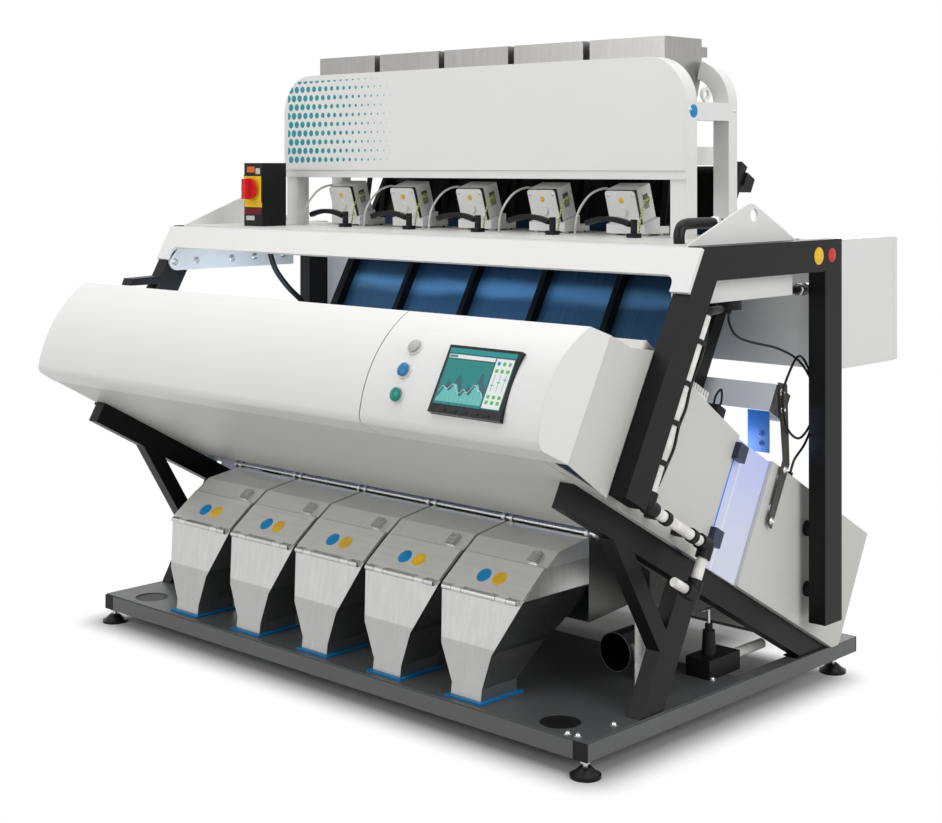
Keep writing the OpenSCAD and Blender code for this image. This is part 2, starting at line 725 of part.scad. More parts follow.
// Screen module in its bezel, with a strip of soft keys along the foot
module touch_screen() {
    bezel = 9;
    strip = 16;
    key_h = 2;
    key_edge = 6;
    color(black) tilted() on_face(screen_p[0], screen_p[1]) {
        translate([-screen_w / 2, -screen_h / 2, -screen_deep])
            cube([screen_w, screen_h, screen_deep + bezel_h]);
        translate([bezel - screen_w / 2, bezel + strip - screen_h / 2, bezel_h + weld])
            cube([screen_w - 2 * bezel, screen_h - 2 * bezel - strip, 1]);
        for (i = [-2:2]) translate([i * 40 - 12, key_edge - screen_h / 2, bezel_h + weld])
            cube([24, 8, key_h]);
    }
}

stem_d = 24;
ring_h = 5;
button_lift = 5;

// Domed push button on a stem
module push_button(s) {
    tilted() on_face(button_x, s) {
        translate([0, 0, -14]) cylinder(h = 14 + ring_h + button_lift, d = stem_d);
        translate([0, 0, ring_h + button_lift]) intersection() {
            cylinder(h = 12, d = button_d);
            translate([0, 0, 8 - button_d]) sphere(d = 2 * button_d);
        }
    }
}
module button_top() { color([0.6, 0.62, 0.64]) push_button(button_ss[0]); }
module button_middle() { color([0.1, 0.4, 0.7]) push_button(button_ss[1]); }
module button_bottom() { color([0.1, 0.6, 0.45]) push_button(button_ss[2]); }

// Cameras on the floor of the front housing, each with a lens toward the window
module camera_boxes() {
    body = [150, 210, 120];
    color(black) tilted() for (i = [0:chutes - 1]) translate([chute_x(i), 130, 0]) {
        block([-body[0] / 2, 0, window_s - body[2] / 2], [body[0] / 2, body[1], window_s + body[2] / 2]);
        translate([0, 0, window_s]) rod_y(body[1] + weld, body[1] + 60, 70);
        block([-40, 40, sheet + weld], [40, 170, window_s - body[2] / 2 - weld]);
    }
}

// Lamp tubes along the window with their holders
module lamp_bars() {
    lamp_d = 26;
    half = head_x - 120;
    color(glow) tilted() for (s = [window_s - 90, window_s + 90]) {
        translate([0, window_t - 50, s]) rod_x(-half, half, lamp_d);
        both_x() block([half + weld, window_t - 70, s - 20], [half + 24, window_t - weld, s + 20]);
    }
}

// Glass strip that closes the optics window
module optics_windows() {
    color([0.8, 0.88, 0.95, 0.5]) tilted()
        block([-head_x + sheet + slack, window_t + sheet + weld, window_s - window_h / 2 - 14],
              [head_x - sheet - slack, window_t + sheet + 6, window_s + window_h / 2 + 14]);
}

// Air manifold across the sorting gap with a row of valve blocks
module ejector_manifold() {
    half = head_x - 60;
    bar_t = rear_t0 - 90;
    color([0.4, 0.42, 0.45]) tilted() {
        block([-half, bar_t, 70], [half, rear_t0 - weld, 120]);
        for (i = [0:chutes - 1], k = [-2:2])
            block([chute_x(i) + k * 60 - 22, bar_t + 20, 120 + weld],
                  [chute_x(i) + k * 60 + 22, rear_t0 - 10, 160]);
    }
}

// Translucent plates over the ends of the sorting gap with a sealing strip
module gap_end_plates() {
    x1 = head_x - 12;
    color(glow) tilted() both_x() {
        block([x1 - 6, front_t1 + 16, 0], [x1, rear_t0 - 2, head_h - 4]);
        block([x1 - 6, front_t1 + slack, 20], [x1 + 6, front_t1 + 16 - weld, head_h - 30]);
    }
}

// Dark clamps that hold the end plates
module gap_clamps() {
    x1 = head_x - 12;
    color(black) tilted() both_x() for (s = [60, 330]) {
        block([head_x + weld, front_t1 - 12, s], [head_x + 22, front_t1 + 34, s + 52]);
        block([x1 + weld, front_t1 + 18, s + 6], [head_x, front_t1 + 34, s + 46]);
    }
}

// Closed rear housing, cut level where it stands over the base
module rear_housing() {
    foot_z = deck_top + weld;
    color(beige) tilted() difference() {
        slab(-head_x, head_x)
            polygon([[rear_t0, 0], [t_at(0, foot_z), 0], [rear_t1, s_at(rear_t1, foot_z)],
                     [rear_t1, head_h], [rear_t0, head_h]]);
        slab(sheet - head_x, head_x - sheet)
            polygon([[rear_t0 + sheet, sheet], [t_at(sheet, foot_z + sheet), sheet],
                     [rear_t1 - sheet, s_at(rear_t1 - sheet, foot_z + sheet)],
                     [rear_t1 - sheet, head_h - sheet], [rear_t0 + sheet, head_h - sheet]]);
    }
}

// Bar across the machine above the gap, on a bent arm at each end
module cross_beam() {
    arm_x = head_x + 10;
    arm_t = 6;
    bar_p = [740, 530];
    bar = 90;
    color(beige) tilted()
        block([weld - arm_x, bar_p[0], bar_p[1]], [arm_x - weld, bar_p[0] + bar, bar_p[1] + bar]);
    color([0.3, 0.3, 0.29]) tilted() both_x() {
        slab(arm_x, arm_x + arm_t) {
            polygon([[741, 627], [786, 640], [921, 424 + weld], [884, 424 + weld]]);
            polygon([[884, 424 - weld], [921, 424 - weld], [921, 211], [894, 221]]);
        }
        for (s = [270, 370]) translate([0, rear_t0 + 54, s]) rod_x(head_x + weld, arm_x - weld, 24);
    }
}

// Outlet hopper: heights of the folds, half widths at each fold and the fold line of the back
gasket_h = 6;
out_z0 = deck_top + gasket_h;
neck_z = deck_top + 40;
waist_z = 247;
mouth_x0 = -87;
waist = [-145, 60];
out_sheet = 3;
cover_end = [out_back, rod_p[1] - 9];
out_top = 640;
out_z = [out_z0, neck_z, waist_z, hinge_p[1], out_top];
out_l = [mouth_x0, mouth_x0, waist[0], -outlet_w / 2, -outlet_w / 2];
out_r = [mouth_x0 + mouth_w, mouth_x0 + mouth_w, waist[1], outlet_w / 2, outlet_w / 2];
back_low = [345, 295];
back_top = [out_back, 363];
back_waist = [out_front + mouth_d + (back_low[0] - out_front - mouth_d) * (waist_z - neck_z)
              / (back_low[1] - neck_z), waist_z];

// Side section of the hopper below and above the neck
module out_side() {
    polygon([[out_front, out_z0], [out_front + mouth_d, out_z0], [out_front + mouth_d, neck_z],
             back_low, back_top, cover_end, out_bend, flap_top, hinge_p]);
}

// Strip of sheet along the inside of a fold line from a to b
module fold(a, b) {
    translate(a) rotate(atan2(b[1] - a[1], b[0] - a[0])) translate([weld, 0])
        square([norm(b - a) - 2 * weld, out_sheet]);
}

// Five outlet hoppers in folded stainless sheet, each open at the flap, the mouth and the back
module outlet_hoppers() {
    w = out_sheet;
    gap = w + weld;
    lip = 14;
    color(stainless) place() for (i = [0:chutes - 1]) translate([chute_x(i), 0, 0]) {
        // Left and right walls, one plate in each band
        for (k = [0:len(out_z) - 2]) intersection() {
            slab(-chute_pitch / 2, chute_pitch / 2) out_side();
            face(0, out_back + 10) {
                polygon([[out_l[k], out_z[k]], [out_l[k] + w, out_z[k]],
                         [out_l[k + 1] + w, out_z[k + 1] - weld], [out_l[k + 1], out_z[k + 1] - weld]]);
                polygon([[out_r[k] - w, out_z[k]], [out_r[k], out_z[k]],
                         [out_r[k + 1], out_z[k + 1] - weld], [out_r[k + 1] - w, out_z[k + 1] - weld]]);
            }
        }
        // Front and back plates between the walls, band by band
        for (k = [0:2]) intersection() {
            slab(-chute_pitch / 2, chute_pitch / 2) {
                fold(hinge_p, [out_front, out_z0]);
                fold([out_front + mouth_d, out_z0], [out_front + mouth_d, neck_z]);
                fold([out_front + mouth_d, neck_z], back_waist);
                fold(back_waist, back_low);
                fold(back_low, back_top);
            }
            face(0, out_back + 10)
                polygon([[out_l[k] + gap, out_z[k]], [out_r[k] - gap, out_z[k]],
                         [out_r[k + 1] - gap, out_z[k + 1] - weld],
                         [out_l[k + 1] + gap, out_z[k + 1] - weld]]);
        }
        // Ledges under the flap and the cover behind it
        slab(gap - outlet_w / 2, outlet_w / 2 - gap) {
            fold(out_bend, flap_top);
            fold(cover_end, out_bend);
            translate(hinge_p) rotate(flap_a) {
                translate([1, -w]) square([lip, w]);
                translate([flap_len - lip, -w]) square([lip - 2, w]);
            }
        }
    }
    // Hinge pins of the flaps in knuckles welded to the hopper fronts
    color(stainless) place() for (i = [0:chutes - 1]) translate([chute_x(i), 0, 0]) {
        translate([0, hinge_y, hinge_z]) rod_x(-pin_half, pin_half, pin_d);
        for (x = [[-pin_half, -112], [-68, 68], [112, pin_half]]) {
            translate([0, hinge_y, hinge_z]) rod_x(x[0], x[1], knuckle_d);
            block([x[0], hinge_y, hinge_z - 6], [x[1], hinge_p[0] - 1.5, hinge_z + 3]);
        }
    }
}

pin_half = 150;
knuckle_d = pin_d + 10;
hinge_y = hinge_p[0] - knuckle_d / 2 - 1;
hinge_z = hinge_p[1] - 4;

// Flap over the sample opening, with its hinge knuckles
module sample_flap(i) {
    sheet_t = 4;
    color(stainless) place() translate([chute_x(i), 0, 0]) {
        slab(4 - outlet_w / 2, outlet_w / 2 - 4)
            translate(hinge_p) rotate(flap_a) translate([4, 0.6]) square([flap_len - 8, sheet_t]);
        for (x = [-110, 70]) difference() {
            union() {
                translate([0, hinge_y, hinge_z]) rod_x(x, x + 40, knuckle_d);
                slab(x, x + 40) translate(hinge_p) rotate(flap_a)
                    translate([-8, 0.6]) square([30, sheet_t]);
            }
            translate([0, hinge_y, hinge_z]) rod_x(x - 1, x + 41, pin_d + 2 * pin_fit);
        }
    }
}
module sample_flap_1() { sample_flap(0); }
module sample_flap_2() { sample_flap(1); }
module sample_flap_3() { sample_flap(2); }
module sample_flap_4() { sample_flap(3); }
module sample_flap_5() { sample_flap(4); }

// Keepers above the flaps
module flap_latches() {
    color(steel) place() for (i = [0:chutes - 1]) translate([chute_x(i) + outlet_w / 2 - 60, 0, 0])
        slab(-16, 16) translate(flap_top) rotate(atan2(out_bend[1] - flap_top[1], out_bend[0] - flap_top[0]))
            translate([6, 0]) square([40, 14]);
}

// Sealing collars between the hopper mouths and the deck, four strips each
module outlet_gaskets() {
    rim = 14;
    color(gasket_blue) place() for (i = [0:chutes - 1])
        translate([chute_x(i) + mouth_x0, out_front, deck_top]) {
            for (x = [-rim, mouth_w - out_sheet])
                block([x, -rim, 0], [x + rim + out_sheet, mouth_d + rim, gasket_h]);
            for (y = [-rim, mouth_d - out_sheet])
                block([out_sheet + weld, y, 0], [mouth_w - out_sheet - weld, y + rim + out_sheet, gasket_h]);
        }
}

// Rod along the backs of the hopper covers with clip pairs at the joints between hoppers
module cover_rod() {
    half = bank_w / 2 + 30;
    color(steel) place() translate([0, rod_p[0], rod_p[1]]) {
        rod_x(-half, half, rod_d);
        for (i = [0:chutes], dx = [-22, 10])
            translate([(i - chutes / 2) * chute_pitch + dx, 0, 0]) difference() {
                rod_x(0, 12, rod_d + 12);
                rod_x(-1, 13, rod_d + weld);
            }
    }
}

// Trough that leads product from the sorting gap forward to the outlet hoppers
module collector() {
    y0 = out_back + weld;
    y1 = wy(rear_t0 - 20, 0);
    z0 = 300;
    wall = 3;
    half = chute_x(chutes - 1) + outlet_w / 2 - wall;
    color(beige) place() {
        both_x() slab(half, half + wall) polygon([[y0, z0], [y1, wz(rear_t0 - 20, 0) - 90],
            [y1, wz(rear_t0 - 20, 0) - 14], [wy(front_t1 - 60, 0), wz(front_t1 - 60, 0) - 14], [y0, 540]]);
        slab(weld - half, half - weld) {
            polygon([[y0, z0], [y1, wz(rear_t0 - 20, 0) - 90], [y1, wz(rear_t0 - 20, 0) - 90 + wall],
                     [y0, z0 + wall]]);
            polygon([[y1 - wall, wz(rear_t0 - 20, 0) - 90 + wall + weld],
                     [y1, wz(rear_t0 - 20, 0) - 90 + wall + weld],
                     [y1, wz(rear_t0 - 20, 0) - 14], [y1 - wall, wz(rear_t0 - 20, 0) - 14]]);
        }
    }
}

cab_wall = 3;
door_t = 24;
cab_y1 = cab_y0 + cab_d;

// Electrical cabinet across the back, open to its two rear doors
module electrical_cabinet() {
    half = cab_w / 2;
    y1 = cab_y1 - door_t;
    color(white) place() {
        block([-half, cab_y0, cab_z0], [half, cab_y0 + cab_wall, cab_z1]);
        for (z = [cab_z0, cab_z1 - cab_wall])
            block([-half, cab_y0 + cab_wall + weld, z], [half, y1, z + cab_wall]);
        both_x() block([half - cab_wall, cab_y0 + cab_wall + weld, cab_z0 + cab_wall + weld],
                       [half, y1, cab_z1 - cab_wall - weld]);
        block([-10, cab_y0 + cab_wall + weld, cab_z0 + cab_wall + weld], [10, y1, cab_z1 - cab_wall - weld]);
        // Mounting plate and rails inside
        both_x() block([60, cab_y0 + 20, cab_z0 + 40], [half - 60, cab_y0 + 24, cab_z1 - 40]);
        both_x() for (z = [cab_z0 + 120, cab_z0 + 270])
            block([100, cab_y0 + 24 + weld, z], [half - 100, cab_y0 + 110, z + 90]);
        both_x() for (x = [120, half - 160], z = [cab_z0 + 50, cab_z1 - 70])
            block([x, cab_y0 + cab_wall + weld, z], [x + 40, cab_y0 + 20 - weld, z + 20]);
    }
    // Arms from the rear posts
    color(black) place() both_x()
        block([up_x0, rear_post_y + weld, cab_z0 + 60], [min(up_x1, half) - 4, cab_y0 - weld, cab_z1 - 60]);
}

// Rear door of the cabinet, hinged at its outer edge
module cabinet_door() {
    half = cab_w / 2;
    color(white) place() {
        difference() {
            block([2, cab_y1 - door_t + slack, cab_z0 + 2], [half, cab_y1, cab_z1 - 2]);
            block([2 + cab_wall, cab_y1 - door_t, cab_z0 + 2 + cab_wall],
                  [half - cab_wall, cab_y1 - cab_wall, cab_z1 - 2 - cab_wall]);
        }
        translate([30, cab_y1, (cab_z0 + cab_z1) / 2]) rod_y(0, 8, 26);
    }
}
module cabinet_door_right() { cabinet_door(); }
module cabinet_door_left() { mirror([1, 0, 0]) cabinet_door(); }

// Louvred vent on the right rear door
module vent_grille() {
    x0 = cab_w / 2 - 300;
    x1 = cab_w / 2 - 30;
    z0 = cab_z0 + 60;
    z1 = cab_z1 - 60;
    slats = 10;
    pitch = (z1 - z0) / slats;
    color(beige) place() {
        for (x = [x0, x1 - 6]) block([x, cab_y1, z0], [x + 6, cab_y1 + vent_out, z1]);
        for (k = [0:slats - 1]) slab(x0 + 6 + weld, x1 - 6 - weld)
            polygon([[cab_y1, z0 + k * pitch + 16], [cab_y1 + vent_out, z0 + k * pitch],
                     [cab_y1 + vent_out, z0 + k * pitch + 4], [cab_y1, z0 + k * pitch + 20]]);
    }
}

switch_x = -880;
switch_y = 480;
switch_w = 108;
switch_d = 117;
switch_z1 = 1698;
knob_z = 1600;

// Isolator housing with its faceplate
module switch_box() {
    plate = 104;
    color(black) place() translate([switch_x, switch_y, 0]) {
        block([-switch_w / 2, 0, feed_z], [switch_w / 2, switch_d, switch_z1]);
        block([-plate / 2, -4, knob_z - plate / 2], [plate / 2, -weld, knob_z + plate / 2]);
        translate([0, 0, knob_z]) rod_y(-14, -4 - weld, 50);
    }
}

// Rotary handle of the isolator
module switch_knob() {
    color([0.75, 0.1, 0.1]) place() translate([switch_x, switch_y - 14.4, knob_z]) {
        rod_y(-12, 0, knob_d);
        block([-11, -34, 2 - knob_d / 2], [11, -12, knob_d / 2 - 2]);
    }
}

pipe_x = up_x0 + up_w / 2;
pipe_t = post_t + up_d + 37;
drop_t = 537;
run_s = 31;
elbow_s = -113;
filter_p = [head_x - 7, 668];
filter_z = 1336;
reg_p = [low_x0 - 60, 745];
reg_z = deck_top + 60;
reg_y1 = deck_d + 70;

// White air pipes down the right post, along the beam and down to the tee, and to the regulator
module air_pipes() {
    color(white) {
        tilted() {
            translate([pipe_x, pipe_t, run_s + 40]) cylinder(h = 540, d = pipe_d);
            translate([pipe_x, 0, run_s]) rod_y(pipe_t + 40, drop_t - 40, pipe_d);
            translate([pipe_x, drop_t, elbow_s + 40]) cylinder(h = run_s - elbow_s - 80, d = pipe_d);
            translate([pipe_x, 0, elbow_s]) rod_y(drop_t - 100, drop_t - 40, pipe_d - 4);
        }
        place() {
            translate([reg_p[0], 0, reg_z - 28]) rod_y(reg_y1 + weld, reg_y1 + 190, pipe_d);
            translate([low_x0 - 80, 421, deck_top]) cylinder(h = 220, d = pipe_d);
        }
    }
    color(black) place() translate([filter_p[0], 0, filter_z - 45])
        rod_y(filter_p[1] + 45, cab_y0 - weld, 26);
}

// Dark elbow: two sockets joined by a ball, along +s and along the beam toward +t or -t
module elbow(up, along) {
    fit_d = pipe_d + 14;
    sphere(d = fit_d);
    if (up > 0) translate([0, 0, 4]) cylinder(h = 36 - weld, d = fit_d);
    if (up < 0) translate([0, 0, -40 + weld]) cylinder(h = 36 - weld, d = fit_d);
    if (along > 0) rod_y(4, 40 - weld, fit_d);
    if (along < 0) rod_y(weld - 40, -4, fit_d);
}

// Elbows, clips and tee of the air line, and the gland where the sensor cable ends
module pipe_fittings() {
    clip_d = pipe_d + 10;
    gland_h = 13.8;
    color(black) tilted() {
        translate([pipe_x, pipe_t, run_s]) elbow(1, 1);
        translate([pipe_x, drop_t, run_s]) elbow(-1, -1);
        translate([pipe_x, drop_t, elbow_s]) elbow(1, -1);
        for (s = [150, 270, 390, 520]) translate([pipe_x, pipe_t, s]) difference() {
            union() {
                cylinder(h = 14, d = clip_d);
                block([-8, post_t + up_d + weld - pipe_t, 0], [8, 0, 14]);
            }
            translate([0, 0, -1]) cylinder(h = 16, d = pipe_d + weld);
        }
        for (t = [pipe_t + 90, drop_t - 90]) translate([pipe_x, t, run_s]) difference() {
            union() {
                rod_y(0, 20, clip_d);
                block([head_x + weld - pipe_x, 0, -8], [0, 20, 8]);
            }
            rod_y(-1, 21, pipe_d + weld);
        }
        translate([cord_end[0], t_of_y(head_h + gland_h, cord_end[1]), head_h]) cylinder(h = gland_h, d = 18);
    }
}

// Air filter under the right lifting plate, with its bowl
module air_filter() {
    head = 76;
    color(black) place() translate([filter_p[0], filter_p[1], 0]) {
        block([-head / 2, -45, filter_z - 44], [plate_x - weld - filter_p[0], 45 - weld, filter_z]);
        translate([0, 0, filter_z - 84]) cylinder(h = 40 - weld, d = head);
        translate([0, 0, cord_points[0][2] + 0.3])
            cylinder(h = filter_z - 84 - cord_points[0][2] - 0.3 - weld, d = 16);
    }
}

// Regulator with its valve block on the deck
module air_regulator() {
    color(black) place() translate([reg_p[0], reg_p[1], 0]) {
        block([-45, -60, deck_top], [45, reg_y1 - reg_p[1], reg_z - weld]);
        translate([0, 0, reg_z]) cylinder(h = 76, d1 = 46, d2 = 38);
        translate([0, 0, reg_z + 76 + weld]) cylinder(h = 20, d = 24);
    }
}

// Turning handle of the regulator
module regulator_handle() {
    color(steel) place() translate([reg_p[0], reg_p[1], reg_z + 96 + 2 * weld]) {
        cylinder(h = 46, d = 10);
        translate([0, 0, 46]) rod_y(-44, 44, 9);
    }
}

// Stainless dust outlet: an open stub that bends down to the deck
module exhaust_duct() {
    duct_d = 118;
    wall = 2.5;
    duct_z = deck_top + 120;
    bend_r = 80;
    duct_p = [min(chute_x(chutes - 1) + outlet_w / 2 + 85, low_x0 - duct_d / 2 - 4), 402];
    stub = 110;
    color(stainless) place() translate([duct_p[0], duct_p[1], duct_z]) {
        difference() {
            rod_y(0, stub, duct_d);
            rod_y(-1, stub + 1, duct_d - 2 * wall);
        }
        translate([0, stub + weld, -bend_r]) rotate([0, -90, 0]) rotate_extrude(angle = 90)
            translate([bend_r, 0]) difference() {
                circle(d = duct_d);
                circle(d = duct_d - 2 * wall);
            }
        translate([0, stub + weld + bend_r, deck_top - duct_z]) difference() {
            cylinder(h = duct_z - deck_top - bend_r - weld, d = duct_d);
            translate([0, 0, -1]) cylinder(h = duct_z, d = duct_d - 2 * wall);
        }
    }
}

// Evenly stepped points on a smooth curve through hand-chosen points
function pick(p, i) = p[max(0, min(len(p) - 1, i))];
function spline(p, i, u) = 0.5 * (2 * pick(p, i) + (pick(p, i + 1) - pick(p, i - 1)) * u
    + (2 * pick(p, i - 1) - 5 * pick(p, i) + 4 * pick(p, i + 1) - pick(p, i + 2)) * u * u
    + (3 * pick(p, i) - pick(p, i - 1) - 3 * pick(p, i + 1) + pick(p, i + 2)) * u * u * u);
function smooth(p, n) = concat([for (i = [0:len(p) - 2], k = [0:n - 1]) spline(p, i, k / n)],
                               [p[len(p) - 1]]);
function unit(v) = v / norm(v);
function heading(q, i) = unit(q[min(i + 1, len(q) - 1)] - q[max(i - 1, 0)]);
function side_of(h) = unit(cross(h, abs(h[0]) < 0.8 ? [1, 0, 0] : [0, 1, 0]));

// Tube with eight sides swept along points
module tube(points, d, n) {
    q = smooth(points, n);
    sides = 8;
    rings = [for (i = [0:len(q) - 1]) let (h = heading(q, i), a = side_of(h), b = cross(h, a))
        for (k = [0:sides - 1]) q[i] + d / 2 * (a * cos(360 * k / sides) + b * sin(360 * k / sides))];
    last = sides * (len(q) - 1);
    polyhedron(points = rings, faces = concat(
        [[for (k = [0:sides - 1]) sides - 1 - k]], [[for (k = [0:sides - 1]) last + k]],
        [for (i = [0:len(q) - 2], k = [0:sides - 1]) [i * sides + k, i * sides + (k + 1) % sides,
            (i + 1) * sides + (k + 1) % sides, (i + 1) * sides + k]]));
}

cord_d = 8;
cord_route = [[-7, 668, 1239], [-7, 668, 1215], [-5, 700, 1172], [-1, 770, 1146], [7, 915, 1114],
    [19, 1020, 1066], [27, 1085, 985], [27, 1085, 880], [27, 1010, 824], [27, 935, 868], [27, 912, 965],
    [27, 950, 1038], [15, 1030, 1082], [13, 1096, 1010], [13, 1104, 870], [5, 1080, 800], [-13, 1044, 748],
    [-15, 1023, 709]];
cord_points = [for (q = cord_route) [head_x + q[0], q[1], q[2]]];
cord_end = cord_points[len(cord_points) - 1];

// Sensor cable that hangs in a loop from the filter to the rear housing
module sensor_cord() { color(black) place() tube(cord_points, cord_d, 4); }

lead_d = 8;
lead_points = [[-66, 790, 1600], [-86, 770, 1612], [-116, 730, 1590], [-134, 690, 1530], [-138, 680, 1458]];

// Supply leads from the drive sockets to the deck
module feeder_leads() {
    color([0.65, 0.65, 0.63]) place() for (i = [0:chutes - 1])
        translate([chute_x(i), 0, 0]) tube(lead_points, lead_d, 5);
}

base_frame();
base_deck();
black_caps();
foot_pads();
foot_studs();
lower_frame_left();
lower_frame_right();
upper_frame_left();
upper_frame_right();
lifting_plates();
fascia();
feeder_deck();
gantry_frame();
gantry_panel();
inlet_hoppers();
feeder_trays();
feeder_drives();
drive_springs();
cable_elbows();
feed_chutes();
chute_frame();
front_housing();
front_door();
control_panel();
touch_screen();
button_top();
button_middle();
button_bottom();
camera_boxes();
lamp_bars();
optics_windows();
ejector_manifold();
gap_end_plates();
gap_clamps();
rear_housing();
cross_beam();
outlet_hoppers();
sample_flap_1();
sample_flap_2();
sample_flap_3();
sample_flap_4();
sample_flap_5();
flap_latches();
outlet_gaskets();
cover_rod();
collector();
electrical_cabinet();
cabinet_door_left();
cabinet_door_right();
vent_grille();
switch_box();
switch_knob();
air_pipes();
pipe_fittings();
air_filter();
air_regulator();
regulator_handle();
exhaust_duct();
sensor_cord();
feeder_leads();
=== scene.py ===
"""Looks of a five-chute optical colour sorter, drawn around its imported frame."""
import math
import bpy
import bmesh
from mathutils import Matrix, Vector


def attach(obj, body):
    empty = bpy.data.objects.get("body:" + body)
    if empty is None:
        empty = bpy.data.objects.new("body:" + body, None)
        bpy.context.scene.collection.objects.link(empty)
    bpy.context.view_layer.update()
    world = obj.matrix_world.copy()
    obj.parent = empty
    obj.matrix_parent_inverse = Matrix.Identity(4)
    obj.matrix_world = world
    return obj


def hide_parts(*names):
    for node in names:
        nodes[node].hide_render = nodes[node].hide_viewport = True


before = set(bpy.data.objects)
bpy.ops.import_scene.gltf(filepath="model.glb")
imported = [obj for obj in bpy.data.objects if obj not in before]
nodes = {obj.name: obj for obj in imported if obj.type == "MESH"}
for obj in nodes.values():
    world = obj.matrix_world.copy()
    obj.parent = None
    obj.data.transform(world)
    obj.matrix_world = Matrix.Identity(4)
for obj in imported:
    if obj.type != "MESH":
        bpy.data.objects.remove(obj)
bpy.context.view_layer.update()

# The machine's own measures: its middle and the chutes in metres, all other places in millimetres
Y_MID = 0.63955
CHUTE_PITCH = 0.34
CHUTES = [k * CHUTE_PITCH for k in range(-2, 3)]
TILT = math.radians(29)
BEAM_LEAD, BEAM_Z = 42, 820
DRIVE_LEAN = math.radians(17)
DRIVE_Y, DRIVE_Z = 773, 1495
DECK_TOP, FEEDER_DECK = 104, 1458
FRAME_X = 1264
X_AXIS, Y_AXIS, Z_AXIS = Vector((1, 0, 0)), Vector((0, 1, 0)), Vector((0, 0, 1))


def spot(x, y, z):
    """A point from millimetres, with y counted from the front edge of the base."""
    return Vector((x / 1000, y / 1000 - Y_MID, z / 1000))


def sort_spot(x, t, s):
    """A point in millimetres of the tilted sorting head."""
    y = t * math.cos(TILT) + s * math.sin(TILT) - BEAM_LEAD
    z = BEAM_Z - t * math.sin(TILT) + s * math.cos(TILT)
    return spot(x, y, z)


def sort_way(t, s):
    """A direction of the tilted sorting head."""
    return Vector((0, t * math.cos(TILT) + s * math.sin(TILT), s * math.cos(TILT) - t * math.sin(TILT)))


def drive_spot(x, up):
    """A point on the leaning cover of the feeder drives, in millimetres across and up."""
    return spot(x, DRIVE_Y - up * math.sin(DRIVE_LEAN), DRIVE_Z + up * math.cos(DRIVE_LEAN))


drive_out = Vector((0, -math.cos(DRIVE_LEAN), -math.sin(DRIVE_LEAN)))


class Value:
    """A socket in an expression: arithmetic on it adds Math nodes."""

    def __init__(self, finish, socket):
        self.finish, self.socket = finish, socket

    def _math(self, operation, *terms):
        return self.finish.node("ShaderNodeMath", {"operation": operation}, dict(enumerate(terms)))

    def __add__(self, other): return self._math("ADD", self, other)
    def __radd__(self, other): return self._math("ADD", other, self)
    def __sub__(self, other): return self._math("SUBTRACT", self, other)
    def __rsub__(self, other): return self._math("SUBTRACT", other, self)
    def __mul__(self, other): return self._math("MULTIPLY", self, other)
    def __rmul__(self, other): return self._math("MULTIPLY", other, self)
    def __truediv__(self, other): return self._math("DIVIDE", self, other)
    def __rtruediv__(self, other): return self._math("DIVIDE", other, self)
    def __pow__(self, other): return self._math("POWER", self, other)
    def __rpow__(self, other): return self._math("POWER", other, self)
    def __gt__(self, other): return self._math("GREATER_THAN", self, other)
    def __lt__(self, other): return self._math("LESS_THAN", self, other)
    def __mod__(self, other): return self._math("FLOORED_MODULO", self, other)
    def __rmod__(self, other): return self._math("FLOORED_MODULO", other, self)
    def __abs__(self): return self._math("ABSOLUTE", self)

    def top(self, other): return self._math("MAXIMUM", self, other)
    def low(self, other): return self._math("MINIMUM", self, other)
    def root(self): return self._math("SQRT", self)
    def floor(self): return self._math("FLOOR", self)

    def soft(self, start, end):
        """0 below start, 1 above end, smooth between."""
        return self.finish.node("ShaderNodeMapRange", {"interpolation_type": "SMOOTHSTEP"},
                                {"Value": self, "From Min": start, "From Max": end})


class Sheet:
    """A node tree in the making."""

    def __init__(self, block):
        block.use_nodes = True
        self.tree = block.node_tree

    def node(self, kind, settings=None, inputs=None, out=0):
        """A new node with its settings, then the values or links of its inputs; gives one output."""
        new = self.tree.nodes.new(kind)
        for key, value in (settings or {}).items():
            setattr(new, key, value)
        for key, value in (inputs or {}).items():
            self.feed(new.inputs[key], value)
        return Value(self, new.outputs[out])

    def feed(self, socket, value):
        if isinstance(value, Value):
            self.tree.links.new(value.socket, socket)
        else:
            socket.default_value = value

    def seen(self):
        """1 for rays that see the backdrop directly, in a mirror or through glass."""
        rays = self.node("ShaderNodeLightPath").socket.node.outputs
        camera, glossy, through = (Value(self, rays[f"Is {kind} Ray"])
                                   for kind in ("Camera", "Glossy", "Transmission"))
        return camera.top(glossy).top(through)


